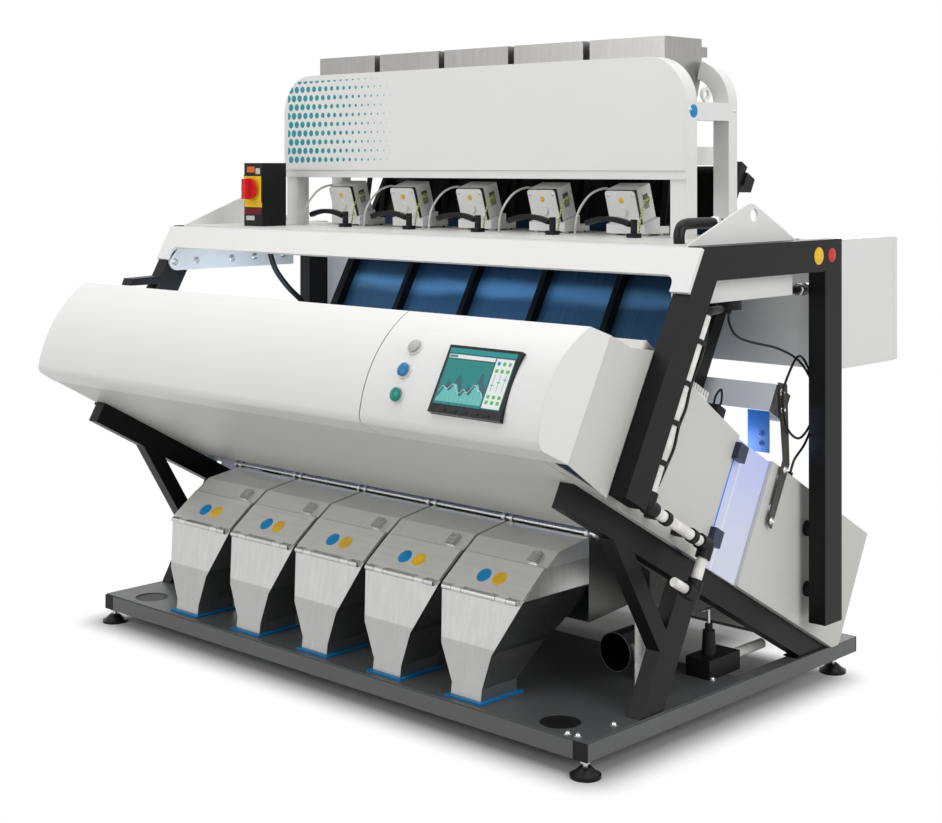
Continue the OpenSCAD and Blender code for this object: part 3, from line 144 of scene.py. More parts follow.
class Finish(Sheet):
    """A material in the making, on a Principled surface."""

    def __init__(self, name, **shader):
        self.material = bpy.data.materials.new(name)
        super().__init__(self.material)
        self.surface = self.tree.nodes["Principled BSDF"]
        self.set(**shader)

    def set(self, **shader):
        for key, value in shader.items():
            self.feed(self.surface.inputs[key.replace("_", " ")], value)

    def place(self):
        """Object coordinates: every part of the frame keeps the frame's own origin."""
        if not hasattr(self, "coords"):
            self.coords = self.node("ShaderNodeTexCoord", out="Object")
        return self.coords

    def xyz(self):
        if not hasattr(self, "axes"):
            split = self.node("ShaderNodeSeparateXYZ", inputs={0: self.place()}).socket.node
            self.axes = [Value(self, split.outputs[i]) for i in range(3)]
        return self.axes

    def stretched(self, scale):
        return self.node("ShaderNodeVectorMath", {"operation": "MULTIPLY"}, {0: self.place(), 1: scale})

    def noise(self, size, detail=3, rough=0.55, vector=None):
        """Noise with blotches of about the given size in metres."""
        return self.node("ShaderNodeTexNoise", out="Fac", inputs={
            "Vector": vector or self.place(), "Scale": 1 / size, "Detail": detail, "Roughness": rough})

    def mix(self, share, one, other):
        return self.node("ShaderNodeMix", {"data_type": "RGBA", "clamp_factor": True},
                         {0: share, 6: one, 7: other}, out=2)

    def tilted(self):
        """The sorting head's own two axes, in metres."""
        _, y, z = self.xyz()
        along, up = y + (Y_MID + BEAM_LEAD / 1000), z - BEAM_Z / 1000
        return (along * math.cos(TILT) - up * math.sin(TILT), along * math.sin(TILT) + up * math.cos(TILT))

    def paint(self, mask, colour):
        """Another colour over the base colour where the mask is 1."""
        base = self.surface.inputs["Base Color"].links[0].from_socket
        self.set(Base_Color=self.mix(mask, Value(self, base), colour))

    def relief(self, height, strength, depth, edge):
        """Bump from a height, with worked edges rounded over the given radius."""
        inputs = {"Height": height, "Strength": strength, "Distance": depth}
        if edge:
            inputs["Normal"] = self.node("ShaderNodeBevel", {"samples": 4}, {"Radius": edge})
        self.set(Normal=self.node("ShaderNodeBump", inputs=inputs))


def rgb(r, g, b):
    return (r, g, b, 1.0)


def shade(colour, factor):
    return tuple(channel * factor for channel in colour[:3]) + (1.0,)


def box_mask(finish, low, high):
    """1 inside a box given by its corners in metres."""
    inside = None
    for value, a, b in zip(finish.xyz(), low, high):
        side = (value > a) * (value < b)
        inside = side if inside is None else inside * side
    return inside


def powder_coat(name, colour, rough, dust=0.05, gloss=0.45):
    """Satin powder coat: fine orange peel, faint clouding, dust in the low places."""
    f = Finish(name, Specular_IOR_Level=gloss)
    cloud = f.noise(0.32, 3)
    peel = f.noise(0.0011, 2)
    scuff = f.noise(0.02, 5, 0.7).soft(0.6, 0.78)
    f.set(Base_Color=f.mix(cloud.soft(0.3, 0.7) * dust + scuff * dust, colour, shade(colour, 0.72)),
          Roughness=rough + (cloud - 0.5) * 0.12 + scuff * 0.1)
    f.relief(peel, 0.12, 0.0004, 0.0022)
    return f


def brushed_sheet(name, colour, rough, along):
    """Stainless sheet brushed along one axis, with long faint streaks and handling marks."""
    f = Finish(name, Metallic=1.0)

    def streaks(width, length, detail, roughness):
        scale = [1 / width] * 3
        scale[along] = 1 / length
        return f.noise(1.0, detail, roughness, f.stretched(scale))

    hair = streaks(0.0011, 0.12, 2, 0.6)
    band = streaks(0.012, 0.5, 3, 0.5)
    marks = f.noise(0.07, 4, 0.6)
    tone = (hair - 0.5) * 0.5 + (band - 0.5) * 0.7 + (marks - 0.5) * 0.25 + 0.5
    f.set(Base_Color=f.mix(tone, shade(colour, 0.78), shade(colour, 1.14)),
          Roughness=rough + (hair - 0.5) * 0.16 + marks.soft(0.5, 0.75) * 0.08)
    f.relief(hair, 0.1, 0.0003, 0.0012)
    return f


def plated(name, colour, rough):
    """Turned and plated steel with a faint grain and dulled spots."""
    f = Finish(name, Metallic=1.0)
    spots = f.noise(0.006, 4, 0.65)
    f.set(Base_Color=f.mix(spots.soft(0.35, 0.75), shade(colour, 1.08), shade(colour, 0.75)),
          Roughness=rough + (spots - 0.5) * 0.25)
    f.relief(f.noise(0.0012, 2), 0.15, 0.0002, 0.0008)
    return f


def moulded(name, colour, rough, grain=0.0009, edge=0.0012, gloss=0.3):
    """Moulded plastic or rubber with a fine grain."""
    f = Finish(name, Specular_IOR_Level=gloss)
    cloud = f.noise(0.05, 3)
    f.set(Base_Color=f.mix(cloud.soft(0.3, 0.75), colour, shade(colour, 1.35)),
          Roughness=rough + (cloud - 0.5) * 0.14)
    f.relief(f.noise(grain, 2), 0.2, 0.0003, edge)
    return f


def hopper_sheet():
    """Brushed outlet hoppers: duller below the waist, paler and softer on the covers behind the flaps."""
    f = brushed_sheet("stainless", rgb(0.6, 0.6, 0.59), 0.3, 2)
    z = f.xyz()[2]
    f.paint((1.0 - z.soft(0.262, 0.266)) * 0.5, rgb(0.3, 0.3, 0.29))
    cover = z.soft(0.497, 0.501)
    f.paint(cover * 0.8, rgb(0.78, 0.78, 0.76))
    f.set(Metallic=1.0 - cover * 0.4)
    return f


WHITE = rgb(0.8, 0.8, 0.79)
GREY = rgb(0.66, 0.66, 0.63)
BLACK = rgb(0.006, 0.006, 0.0065)
TEAL = rgb(0.0, 0.28, 0.31)

white_coat = powder_coat("white_coat", WHITE, 0.34)
grey_coat = powder_coat("grey_coat", GREY, 0.42)
black_coat = powder_coat("black_coat", BLACK, 0.4, dust=0.3, gloss=0.18)
base_coat = powder_coat("base_coat", rgb(0.12, 0.122, 0.124), 0.4, dust=0.25, gloss=0.35)
deck_coat = powder_coat("deck_coat", rgb(0.1, 0.104, 0.106), 0.38, dust=0.35)
stainless = hopper_sheet()
flap_sheet = brushed_sheet("flap_sheet", rgb(0.74, 0.74, 0.71), 0.42, 0)
flap_sheet.set(Metallic=0.55)
stainless_dull = brushed_sheet("stainless_dull", rgb(0.37, 0.365, 0.35), 0.34, 2)
# A darker copy of the brushed stainless: painted shade on the exhaust duct and the collector.
painted_shade_steel = brushed_sheet("painted_shade_steel", rgb(0.12, 0.12, 0.115), 0.32, 1)
plated_steel = plated("plated_steel", rgb(0.62, 0.62, 0.62), 0.28)
black_plastic = moulded("black_plastic", rgb(0.008, 0.008, 0.009), 0.42, gloss=0.16)
black_rubber = moulded("black_rubber", rgb(0.008, 0.008, 0.008), 0.35, grain=0.003, gloss=0.2)
lead_grey = moulded("lead_grey", rgb(0.42, 0.42, 0.4), 0.5)
gasket_blue = moulded("gasket_blue", rgb(0.0, 0.16, 0.4), 0.45)
clamp_blue = powder_coat("clamp_blue", rgb(0.012, 0.02, 0.06), 0.35)
manifold_grey = plated("manifold_grey", rgb(0.32, 0.34, 0.37), 0.35)
key_grey = moulded("key_grey", rgb(0.36, 0.36, 0.355), 0.22)
key_blue = moulded("key_blue", rgb(0.004, 0.14, 0.34), 0.2)
key_green = moulded("key_green", rgb(0.004, 0.22, 0.17), 0.2)
knob_red = moulded("knob_red", rgb(0.55, 0.012, 0.015), 0.3)


def chute_anodised():
    """Blue anodised chute floor with painted lamp light: a painted bright band across it and lighter towards
    the bottom, with streaks polished by the product along its run, and a black head end.
    """
    f = Finish("chute_anodised", Metallic=0.45, Specular_IOR_Level=0.25)
    run = f.noise(1.0, 3, 0.6, f.stretched((1 / 0.004, 1 / 0.4, 1 / 0.4)))
    z = f.xyz()[2]
    cloud = f.noise(1.0, 3, 0.5, f.stretched((1 / 0.3, 1 / 0.06, 1 / 0.06)))
    # Painted highlight: a bright band of lamp light across the chute, made wavy by noise.
    band = 1.0 - abs(z + (cloud - 0.5) * 0.05 - 1.232).soft(0.0, 0.045)
    # Painted lamp light, lighter towards the bottom, mixed with the polish streaks along the run.
    painted_light_and_polish = (1.0 - z.soft(1.22, 1.33)) * 0.2 + band * 0.6 + (run - 0.5) * 0.24
    f.set(Base_Color=f.mix(painted_light_and_polish, rgb(0.012, 0.035, 0.085), rgb(0.22, 0.56, 1.0)),
          Roughness=0.34 + (run - 0.5) * 0.2)
    f.paint(z > 1.49, rgb(0.006, 0.006, 0.007))
    f.relief(run, 0.06, 0.0003, 0.001)
    return f


def painted_glow_plate():
    """Milky end plate with painted lamp light: it glows faintly by emission in place of the lamps behind it,
    bluer towards the top, with a painted highlight along its fold and a blue sealing strip that glows with
    it.
    """
    # The emission here is painted lamp light, since the plate is no lamp.
    f = Finish("painted_glow_plate", Emission_Strength=0.2)
    t, up = f.tilted()
    grain = f.noise(0.02, 3)
    # Painted highlight: a lighter line along the fold.
    painted_fold_highlight = 1.0 - abs(t - 0.705).soft(0.0, 0.006)
    # Painted lamp light: pale bluish, bluer towards the top.
    painted_light_tint = f.mix(up.soft(0.05, 0.42), rgb(0.6, 0.63, 0.76), rgb(0.5, 0.54, 0.84))
    tint = f.mix(t < 0.6585, f.mix(painted_fold_highlight * 0.5, painted_light_tint, rgb(0.85, 0.87, 0.95)), rgb(0.03, 0.22, 0.85))
    # The same painted tint also feeds the emission, a painted glow.
    f.set(Base_Color=tint, Roughness=0.4 + (grain - 0.5) * 0.15, Emission_Color=tint)
    f.relief(grain, 0.05, 0.0003, 0.001)
    return f


def lamp_glow():
    """Lamp tube with a faint unevenness along its light."""
    f = Finish("lamp_glow", Emission_Strength=0.7)
    bands = f.noise(0.2, 2)
    f.set(Base_Color=rgb(0.7, 0.75, 0.9), Roughness=0.3 + (bands - 0.5) * 0.1,
          Emission_Color=f.mix(bands, rgb(0.35, 0.5, 1.0), rgb(0.5, 0.62, 1.0)))
    return f


def window_glass():
    """Clear window with a few wiped smears."""
    f = Finish("window_glass", Transmission_Weight=0.9, IOR=1.48)
    smear = f.noise(0.05, 4)
    f.set(Base_Color=rgb(0.85, 0.92, 1.0), Roughness=0.04 + smear.soft(0.5, 0.8) * 0.12)
    return f


def panel_coat():
    """White panel coat with a plain halftone of round teal dots fading away from its left end."""
    f = powder_coat("panel_coat", WHITE, 0.32)
    x, _, z = f.xyz()
    pitch = 0.034
    row = ((z - 1.66) / pitch).floor()
    u = (x + 0.96) / pitch + (row % 2.0) * 0.5
    du = (u % 1.0) - 0.5
    dv = (((z - 1.66) / pitch) % 1.0) - 0.5
    far = (du * du + dv * dv).root()
    reach = 1.0 - (u.floor() * pitch) / 0.62
    size = (reach.top(0.0) ** 0.8) * 0.42
    dot = 1.0 - (far - size).soft(-0.03, 0.03)
    inside = (reach > 0.03) * box_mask(f, (-0.945, -1, 1.69), (-0.3, 0.069, 2.015))
    f.paint(dot * inside, TEAL)
    return f


def beam_coat():
    """Cross beam in a pale bluish grey that is partly painted lamp light, with its end arms in dark bronze.
    """
    # The base colour is lightened and tinted blue as painted lamp light.
    f = powder_coat("beam_coat", rgb(0.72, 0.75, 0.8), 0.4)
    f.paint(abs(f.xyz()[0]) > 1.1745, rgb(0.06, 0.058, 0.05))
    return f


def pipes_coat():
    """White air pipe; the line behind the filter is black."""
    f = moulded("pipes_coat", rgb(0.75, 0.74, 0.71), 0.35)
    f.paint(box_mask(f, (1.0, 0.7 - Y_MID, 1.27), (1.3, 1.2 - Y_MID, 1.31)), rgb(0.01, 0.01, 0.011))
    return f


def drive_coat():
    """White drive boxes with a dark gasket line round the cover and plain grey plates on the flank."""
    f = powder_coat("drive_coat", WHITE, 0.34)
    x, y, z = f.xyz()
    u = ((x + 2.5 * CHUTE_PITCH) % CHUTE_PITCH) - CHUTE_PITCH / 2
    along, up = y + (Y_MID - DRIVE_Y / 1000), z - DRIVE_Z / 1000
    v = up * math.cos(DRIVE_LEAN) - along * math.sin(DRIVE_LEAN)
    deep = along * math.cos(DRIVE_LEAN) + up * math.sin(DRIVE_LEAN)
    high = abs(v - 0.0575)
    rim = (abs(u) > 0.0572).top(high > 0.0527) * (deep < 0.013) * (v > 0.0) * (abs(u) < 0.0622)
    f.paint(rim * (deep > 0.0008), rgb(0.03, 0.03, 0.03))
    plate = (u > 0.0615) * (abs(deep - 0.05) < 0.014)
    f.paint(plate * (abs(v - 0.08) < 0.009), rgb(0.1, 0.1, 0.1))
    f.paint(plate * (abs(v - 0.052) < 0.012), rgb(0.3, 0.3, 0.29))
    return f


def switch_coat():
    """Black switch housing with a yellow field behind the handle, a dark red strip and plain tabs."""
    f = moulded("switch_coat", rgb(0.008, 0.008, 0.009), 0.4, gloss=0.16)
    for low_x, high_x, low_z, high_z, colour in (
            (-0.932, -0.828, 1.53, 1.648, rgb(0.85, 0.55, 0.02)),
            (-0.932, -0.834, 1.504, 1.526, rgb(0.16, 0.004, 0.008)),
            (-0.922, -0.872, 1.48, 1.497, rgb(0.6, 0.6, 0.58)),
            (-0.918, -0.872, 1.662, 1.684, rgb(0.7, 0.16, 0.03)),
            (-0.866, -0.84, 1.656, 1.678, rgb(0.6, 0.58, 0.46))):
        f.paint(box_mask(f, (low_x, -1, low_z), (high_x, -0.158, high_z)), colour)
    return f


looks = {
    "base_frame": base_coat, "base_deck": deck_coat, "black_caps": black_plastic, "foot_pads": black_rubber,
    "foot_studs": plated_steel, "lower_frame_left": black_coat, "lower_frame_right": black_coat,
    "upper_frame_left": black_coat, "upper_frame_right": black_coat, "lifting_plates": white_coat,
    "fascia": white_coat, "feeder_deck": grey_coat, "gantry_frame": white_coat, "gantry_panel": panel_coat(),
    "inlet_hoppers": stainless_dull, "feeder_trays": stainless, "feeder_drives": drive_coat(),
    "drive_springs": black_coat, "cable_elbows": black_plastic, "feed_chutes": chute_anodised(),
    "chute_frame": black_coat, "front_housing": grey_coat, "front_door": white_coat,
    "control_panel": white_coat, "button_top": key_grey,
    "touch_screen": moulded("screen_black", rgb(0.01, 0.011, 0.012), 0.18),
    "button_middle": key_blue, "button_bottom": key_green, "camera_boxes": black_plastic,
    "lamp_bars": lamp_glow(), "optics_windows": window_glass(), "ejector_manifold": manifold_grey,
    "gap_end_plates": painted_glow_plate(), "gap_clamps": clamp_blue, "rear_housing": grey_coat,
    "cross_beam": beam_coat(), "outlet_hoppers": stainless, "flap_latches": plated_steel,
    "outlet_gaskets": gasket_blue, "cover_rod": plated_steel, "collector": painted_shade_steel,
    "electrical_cabinet": white_coat, "cabinet_door_left": white_coat, "cabinet_door_right": white_coat,
    "vent_grille": grey_coat, "switch_box": switch_coat(), "switch_knob": knob_red, "air_pipes": pipes_coat(),
    "pipe_fittings": black_plastic, "air_filter": black_plastic, "air_regulator": black_plastic,
    "regulator_handle": plated_steel, "exhaust_duct": painted_shade_steel, "sensor_cord": black_rubber,
    "feeder_leads": lead_grey,
}
for number in range(1, len(CHUTES) + 1):
    looks[f"sample_flap_{number}"] = flap_sheet
for name, finish in looks.items():
    slots = nodes[name].data.materials
    slots.clear()
    slots.append(finish.material)


def piece(name, body, build, finishes, smooth=True):
    """A mesh drawn by build(bm), riding on a body."""
    mesh = bpy.data.meshes.new(name)
    bm = bmesh.new()
    build(bm)
    bmesh.ops.recalc_face_normals(bm, faces=bm.faces)
    bm.to_mesh(mesh)
    bm.free()
    for finish in finishes:
        mesh.materials.append(finish.material)
    for polygon in mesh.polygons:
        polygon.use_smooth = smooth
    obj = bpy.data.objects.new(name, mesh)
    bpy.context.collection.objects.link(obj)
    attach(obj, body)
    return obj


def square_to(normal):
    """Two directions square to a normal, and the normal at unit length."""
    normal = normal.normalized()
    side = normal.cross(Z_AXIS if abs(normal.z) < 0.9 else X_AXIS).normalized()
    return side, normal.cross(side), normal


def ring_at(bm, place, a, b, radius, sides):
    """A ring of vertices round a place, in the plane of two directions."""
    angles = [k * math.tau / sides for k in range(sides)]
    return [bm.verts.new(place + (a * math.cos(angle) + b * math.sin(angle)) * radius) for angle in angles]


def skin(bm, rings):
    """Faces between neighbouring rings and across the two end rings."""
    faces = []
    for low, high in zip(rings, rings[1:]):
        for k in range(len(low)):
            after = (k + 1) % len(low)
            faces.append(bm.faces.new((low[k], low[after], high[after], high[k])))
    return faces + [bm.faces.new(rings[0]), bm.faces.new(rings[-1])]


def turned(bm, foot, normal, profile, sides=20):
    """A turned shape: rings of (radius, height) along a normal from its foot, closed at both ends."""
    a, b, n = square_to(normal)
    skin(bm, [ring_at(bm, foot + n * height, a, b, radius, sides) for radius, height in profile])


def screw(bm, foot, normal, d):
    """A cap screw on a washer, with its socket."""
    r = d / 2
    profile = ((1.7, 0), (1.7, 0.22), (1.62, 0.3), (1, 0.3), (1, 0.95), (0.86, 1.15), (0.55, 1.15),
               (0.5, 0.55))
    turned(bm, foot, normal, [(r * wide, r * high) for wide, high in profile])


def disc(bm, centre, normal, d, height=0.0006):
    """A thin round sticker with a softened rim."""
    r = d / 2
    turned(bm, centre, normal, [(r, 0), (r, height * 0.6), (r - height, height)], sides=40)


camera_data = bpy.data.cameras.new("photo_camera")
camera_data.sensor_width = 36
camera_data.lens = 62.53
camera_data.shift_y = -0.2602
camera = bpy.data.objects.new("photo_camera", camera_data)
camera.location = (3.9975, -3.4723 - Y_MID, 1.685)
camera.rotation_euler = (math.radians(90), 0, math.radians(43.4))
bpy.context.collection.objects.link(camera)
bpy.context.scene.camera = camera

# Sensor cable: the route's own points, in millimetres from the front edge of the base
CORD = [(1158, 668, 1239), (1158, 668, 1215), (1160, 700, 1172), (1164, 770, 1146), (1172, 915, 1114),
        (1184, 1020, 1066), (1192, 1085, 985), (1192, 1085, 880), (1192, 1010, 824), (1192, 935, 868),
        (1192, 912, 965), (1192, 950, 1038), (1180, 1030, 1082), (1178, 1096, 1010), (1178, 1104, 870),
        (1170, 1080, 800), (1152, 1044, 748), (1150, 1023, 709)]


def smooth_route(points, steps):
    """Points on the smooth curve through the given ones."""
    p = [Vector(point) for point in points]

    def pick(i):
        return p[max(0, min(len(p) - 1, i))]

    route = []
    for i in range(len(p) - 1):
        for k in range(steps):
            u = k / steps
            a, b, c, d = pick(i - 1), pick(i), pick(i + 1), pick(i + 2)
            route.append(0.5 * (2 * b + (c - a) * u + (2 * a - 5 * b + 4 * c - d) * u * u
                                + (3 * b - a - 3 * c + d) * u * u * u))
    return route + [p[-1]]


def sensor_cable():
    """The cable as one round cord that takes the place of its CAD node."""
    route = smooth_route([spot(*point) for point in CORD], 6)
    curve = bpy.data.curves.new("sensor_cable", "CURVE")
    curve.dimensions = "3D"
    curve.bevel_depth = 0.004
    curve.bevel_resolution = 4
    curve.use_fill_caps = True
    spline = curve.splines.new("POLY")
    spline.points.add(len(route) - 1)
    for point, place in zip(spline.points, route):
        point.co = (*place, 1.0)
    obj = bpy.data.objects.new("sensor_cable", curve)
    curve.materials.append(black_rubber.material)
    bpy.context.collection.objects.link(obj)
    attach(obj, "machine")
    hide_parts("sensor_cord")
    length = sum((b - a).length for a, b in zip(route, route[1:]))


sensor_cable()

# Screen picture: a plain chart of the product flow, on the screen's own plane
SCREEN_X, SCREEN_S = 971, 143
HOOD_C, HOOD_R = (52, 150), 377
screen_angle = math.pi - math.asin((SCREEN_S - HOOD_C[1]) / HOOD_R)
screen_mid = sort_spot(SCREEN_X, HOOD_C[0] + HOOD_R * math.cos(screen_angle), SCREEN_S)
screen_up = sort_way(math.sin(screen_angle), -math.cos(screen_angle))
screen_out = sort_way(math.cos(screen_angle), math.sin(screen_angle))

SCREEN_COLOURS = {
    "dark": rgb(0.0, 0.09, 0.1), "bar": rgb(0.0, 0.24, 0.24), "chart": rgb(0.0, 0.2, 0.19),
    "pale": rgb(0.72, 0.76, 0.75), "flow": rgb(0.02, 0.1, 0.12), "crest": rgb(0.12, 0.46, 0.43),
    "rule": rgb(0.03, 0.28, 0.27), "blue": rgb(0.02, 0.22, 0.5), "green": rgb(0.1, 0.42, 0.08),
    "grey": rgb(0.3, 0.33, 0.33)}
colour_order = list(SCREEN_COLOURS)


def lit(name, colour):
    """A lit field of the screen, with a faint raster."""
    f = Finish(name, Roughness=0.18, Emission_Strength=0.16)
    raster = f.noise(0.0011, 1)
    tone = f.mix(raster.soft(0.35, 0.7) * 0.25, colour, shade(colour, 0.7))
    f.set(Base_Color=tone, Emission_Color=tone)
    return f


def screen_picture(bm):
    """Flat fields in thin levels, laid out in millimetres from the middle of the screen."""
    def field(u, v, level, colour):
        lift = screen_out * (0.0044 + level * 0.00012)
        corners = [screen_mid + X_AXIS * (a / 1000) + screen_up * (b / 1000) + lift for a, b in zip(u, v)]
        face = bm.faces.new([bm.verts.new(corner) for corner in corners])
        face.material_index = colour_order.index(colour)

    def box(u0, v0, u1, v1, level, colour):
        field((u0, u1, u1, u0), (v0, v0, v1, v1), level, colour)

    def flow(u, shift, tall):
        bumps = ((-96, 14, 44), (-60, 20, 62), (-18, 12, 38), (18, 18, 70), (44, 10, 30))
        return -62 + tall * sum(h * math.exp(-((u - c - shift) / w) ** 2) for c, w, h in bumps)

    # Ground, head bar, title and chart
    box(-124, -74, 124, 90, 0, "dark")
    box(-124, 76, 124, 90, 1, "bar")
    box(-120, 61, 52, 72, 1, "pale")
    box(-118, 63, -88, 70, 2, "bar")
    box(-120, -70, 52, 57, 1, "chart")
    # Two filled curves, a line and rules on the chart
    steps = [-118 + 168 * k / 42 for k in range(43)]
    strips = list(zip(steps, steps[1:]))
    chart_top = 54
    for shift, tall, level, colour in ((6, 1.25, 2, "flow"), (0, 0.8, 3, "crest")):
        for a, b in strips:
            crest = [min(chart_top, flow(u, shift, tall)) for u in (b, a)]
            field((a, b, b, a), (-66, -66, *crest), level, colour)
    for a, b in strips:
        low, high = flow(a, -8, 0.55) + 14, flow(b, -8, 0.55) + 14
        field((a, b, b, a), (low - 0.8, high - 0.8, high + 0.8, low + 0.8), 4, "pale")
    for k in range(11):
        box(-118 + 16.8 * k, -66, -117.3 + 16.8 * k, chart_top, 4, "rule")
    # Side field with three columns of a round sign, keys and a slider
    box(56, -70, 120, 72, 1, "pale")
    for column, sign in enumerate(("blue", "green", "grey")):
        mid = 68 + column * 20
        ring = [k * math.tau / 16 for k in range(16)]
        field([mid + 6 * math.cos(a) for a in ring], [58 + 6 * math.sin(a) for a in ring], 2, sign)
        box(mid - 5.5, 32, mid + 5.5, 42, 2, "green")
        box(mid - 1, -22, mid + 1, 26, 2, "grey")
        box(mid - 5.5, -6 + 9 * column, mid + 5.5, -2 + 9 * column, 3, "crest")
        for row in range(2):
            box(mid - 5.5, -42 - 16 * row, mid + 5.5, -32 - 16 * row, 2, "green")
    for k in range(6):
        box(-118 + 29 * k, -73.4, -94 + 29 * k, -70.8, 2, "bar")


piece("screen_picture", "machine", screen_picture,
      [lit(f"screen_{name}", colour) for name, colour in SCREEN_COLOURS.items()], smooth=False)


def fasteners(bm):
    """Cap screws where the plates and arms are bolted up."""
    for y, z in ((348, 1314), (452, 1316), (627, 1318), (742, 1320), (893, 1322)):
        screw(bm, spot(-1196, y, z), X_AXIS, 0.016)
    for side in (-1, 1):
        for t, s in ((768, 606), (800, 560), (905, 400), (908, 232)):
            screw(bm, sort_spot(side * 1181, t, s), X_AXIS * side, 0.014)
        for y in (740, 986):
            screw(bm, spot(side * 962, y, 1866), X_AXIS * side, 0.008)
    for x, y in ((1094, 30), (1062, 24), (1110, 170), (1075, 700)):
        screw(bm, spot(x, y, DECK_TOP), Z_AXIS, 0.014)
    for x in CHUTES:
        for dx, up in ((-50, 14), (50, 14), (-50, 98), (50, 98)):
            screw(bm, drive_spot(x * 1000 + dx, up), drive_out, 0.007)


piece("cap_screws", "machine", fasteners, [plated_steel])

dot_blue = moulded("dot_blue", rgb(0.0, 0.22, 0.5), 0.35, edge=0.0)
dot_yellow = moulded("dot_yellow", rgb(0.72, 0.42, 0.02), 0.35, edge=0.0)
dot_red = moulded("dot_red", rgb(0.5, 0.02, 0.02), 0.35, edge=0.0)
# Slope of the sample flaps, from their hinge to their upper edge
slope = math.atan2(81, 105)
flap_way = Vector((0, math.cos(slope), math.sin(slope)))
flap_out = Vector((0, -math.sin(slope), math.cos(slope)))
for number, x in enumerate(CHUTES, 1):
    mid = spot(x * 1000, 82, 419) + flap_way * 0.058 + flap_out * 0.0047
    for colour, finish, shift, slot in (("blue", dot_blue, -0.03, "gasket"),
                                        ("yellow", dot_yellow, 0.032, "stainless")):
        piece(f"flap_dot_{colour}_{number}", f"sample_flap_{number}",
              lambda bm: disc(bm, mid + X_AXIS * shift, flap_out, 0.05), [finish])


def hose(bm, points, d, sides=14):
    """A hose swept along a smooth route through the given points, closed at both ends."""
    route = smooth_route(points, 5)
    ways = [(b - a).normalized() for a, b in zip(route, route[1:])]
    ways = [ways[0]] + [(a + b).normalized() for a, b in zip(ways, ways[1:])] + [ways[-1]]
    side = square_to(ways[0])[0]
    rings = []
    for place, way in zip(route, ways):
        side = (side - way * side.dot(way)).normalized()
        rings.append(ring_at(bm, place, side, way.cross(side), d / 2, sides))
    skin(bm, rings)


def prism(bm, corners, way, soft):
    """A flat outline pushed along a way, with its edges rounded."""
    faces = skin(bm, [[bm.verts.new(corner + shift) for corner in corners] for shift in (way * 0, way)])
    edges = list(dict.fromkeys(edge for face in faces for edge in face.edges))
    bmesh.ops.bevel(bm, geom=edges, offset=soft, segments=2, affect="EDGES", profile=0.5)


def air_hoses(bm):
    """Black hoses on the deck, to the filter and down the left side, and a cable along the white pipe."""
    hose(bm, [spot(1147, y, z) for y, z in (
        (430, FEEDER_DECK), (430, 1488), (450, 1512), (520, 1516), (640, 1512), (700, 1488),
        (708, FEEDER_DECK))], 0.034)
    hose(bm, [spot(1234, 440, 1253), spot(1232, 468, 1263), spot(1215, 530, 1263), spot(1185, 585, 1263),
              spot(1163, 610, 1286), spot(1158, 622, 1308)], 0.024)
    hose(bm, [spot(-1000, y, z) for y, z in (
        (640, 1454), (648, 1400), (662, 1344), (692, 1276), (754, 1206), (832, 1140), (880, 1075),
        (905, 1005))], 0.022)
    hose(bm, [sort_spot(1242, t, s) for t, s in (
        (217, 606), (236, 545), (239, 470), (233, 400), (241, 335), (235, 277), (243, 215), (234, 157),
        (224, 95))], 0.009, 8)


def hose_rings(bm):
    """Plated union on the black line and a ring on the deck hose."""
    turned(bm, spot(1158, 1054, 1291), Y_AXIS,
           [(0.0135, 0), (0.021, 0), (0.0225, 0.004), (0.0225, 0.03), (0.019, 0.032), (0.019, 0.042),
            (0.0225, 0.044), (0.0225, 0.072), (0.021, 0.076), (0.0135, 0.078)], sides=6)
    turned(bm, spot(1147, 600, 1514), Y_AXIS,
           [(0.0172, 0), (0.021, 0.002), (0.021, 0.02), (0.0172, 0.022)], sides=24)


def earth_wires(bm):
    """One wire beside each feeder drive, from its box down to the deck."""
    for x in CHUTES:
        hose(bm, [spot(x * 1000 + dx, y, z) for dx, y, z in (
            (62.4, 800, 1560), (84, 790, 1576), (100, 760, 1584), (108, 720, 1540),
            (110, 700, FEEDER_DECK + 0.3))], 0.005, 8)


def roof(t):
    """Height of the front housing's roof over its floor, in millimetres, falling to the back."""
    return 465.3 - 0.105 * (t - 75)


def on_roof(bm, x, t0, t1, s1, width, soft):
    """A block on the roof, between two places along it and up to a height."""
    prism(bm, [sort_spot(x, t, s) for t, s in ((t0, roof(t0)), (t1, roof(t1)), (t1, s1), (t0, s1))],
          X_AXIS * width, soft)


def roof_plug(bm):
    """Connector with a looped cable on the roof of the front housing."""
    start, top = 522, 458
    on_roof(bm, 1095, start, 568, top, 0.05, 0.004)
    hose(bm, [sort_spot(1120, start + dt, top + ds) for dt, ds in (
        (8, -2), (6, 27), (23, 54), (40, 27), (38, -2))], 0.007, 8)


def roof_vent(bm):
    """Finned vent on the roof of the front housing."""
    start, left, width, soft = 332, 1060, 0.1, 0.001
    on_roof(bm, left, start, 438, 441, width, soft)
    for k in range(8):
        t = start + 14 * k
        prism(bm, [sort_spot(left, t + dt, s) for dt, s in ((0, 440.5), (7, 440.5), (7, 459), (0, 459))],
              X_AXIS * width, soft)


def beam_bracket(bm):
    """Folded bracket that hangs under the right end of the cross beam."""
    left, right, front, back, low, sheet = 1091, 1171, 868, 894, 792, 4

    def beam_under(y):
        """Height of the beam's underside, 530 mm up in the tilted sorting head."""
        return BEAM_Z + (530 - (y + BEAM_LEAD) * math.sin(TILT)) / math.cos(TILT)

    def leaf(ends, way):
        outline = [spot(x, y, low) for x, y in ends] + [spot(x, y, beam_under(y)) for x, y in ends[::-1]]
        prism(bm, outline, way * (sheet / 1000), 0.001)

    leaf([(left, front), (right, front)], Y_AXIS)
    leaf([(left, front + sheet), (left, back)], X_AXIS)
    for z in (820, 850):
        screw(bm, spot(1142, front, z), -Y_AXIS, 0.012)


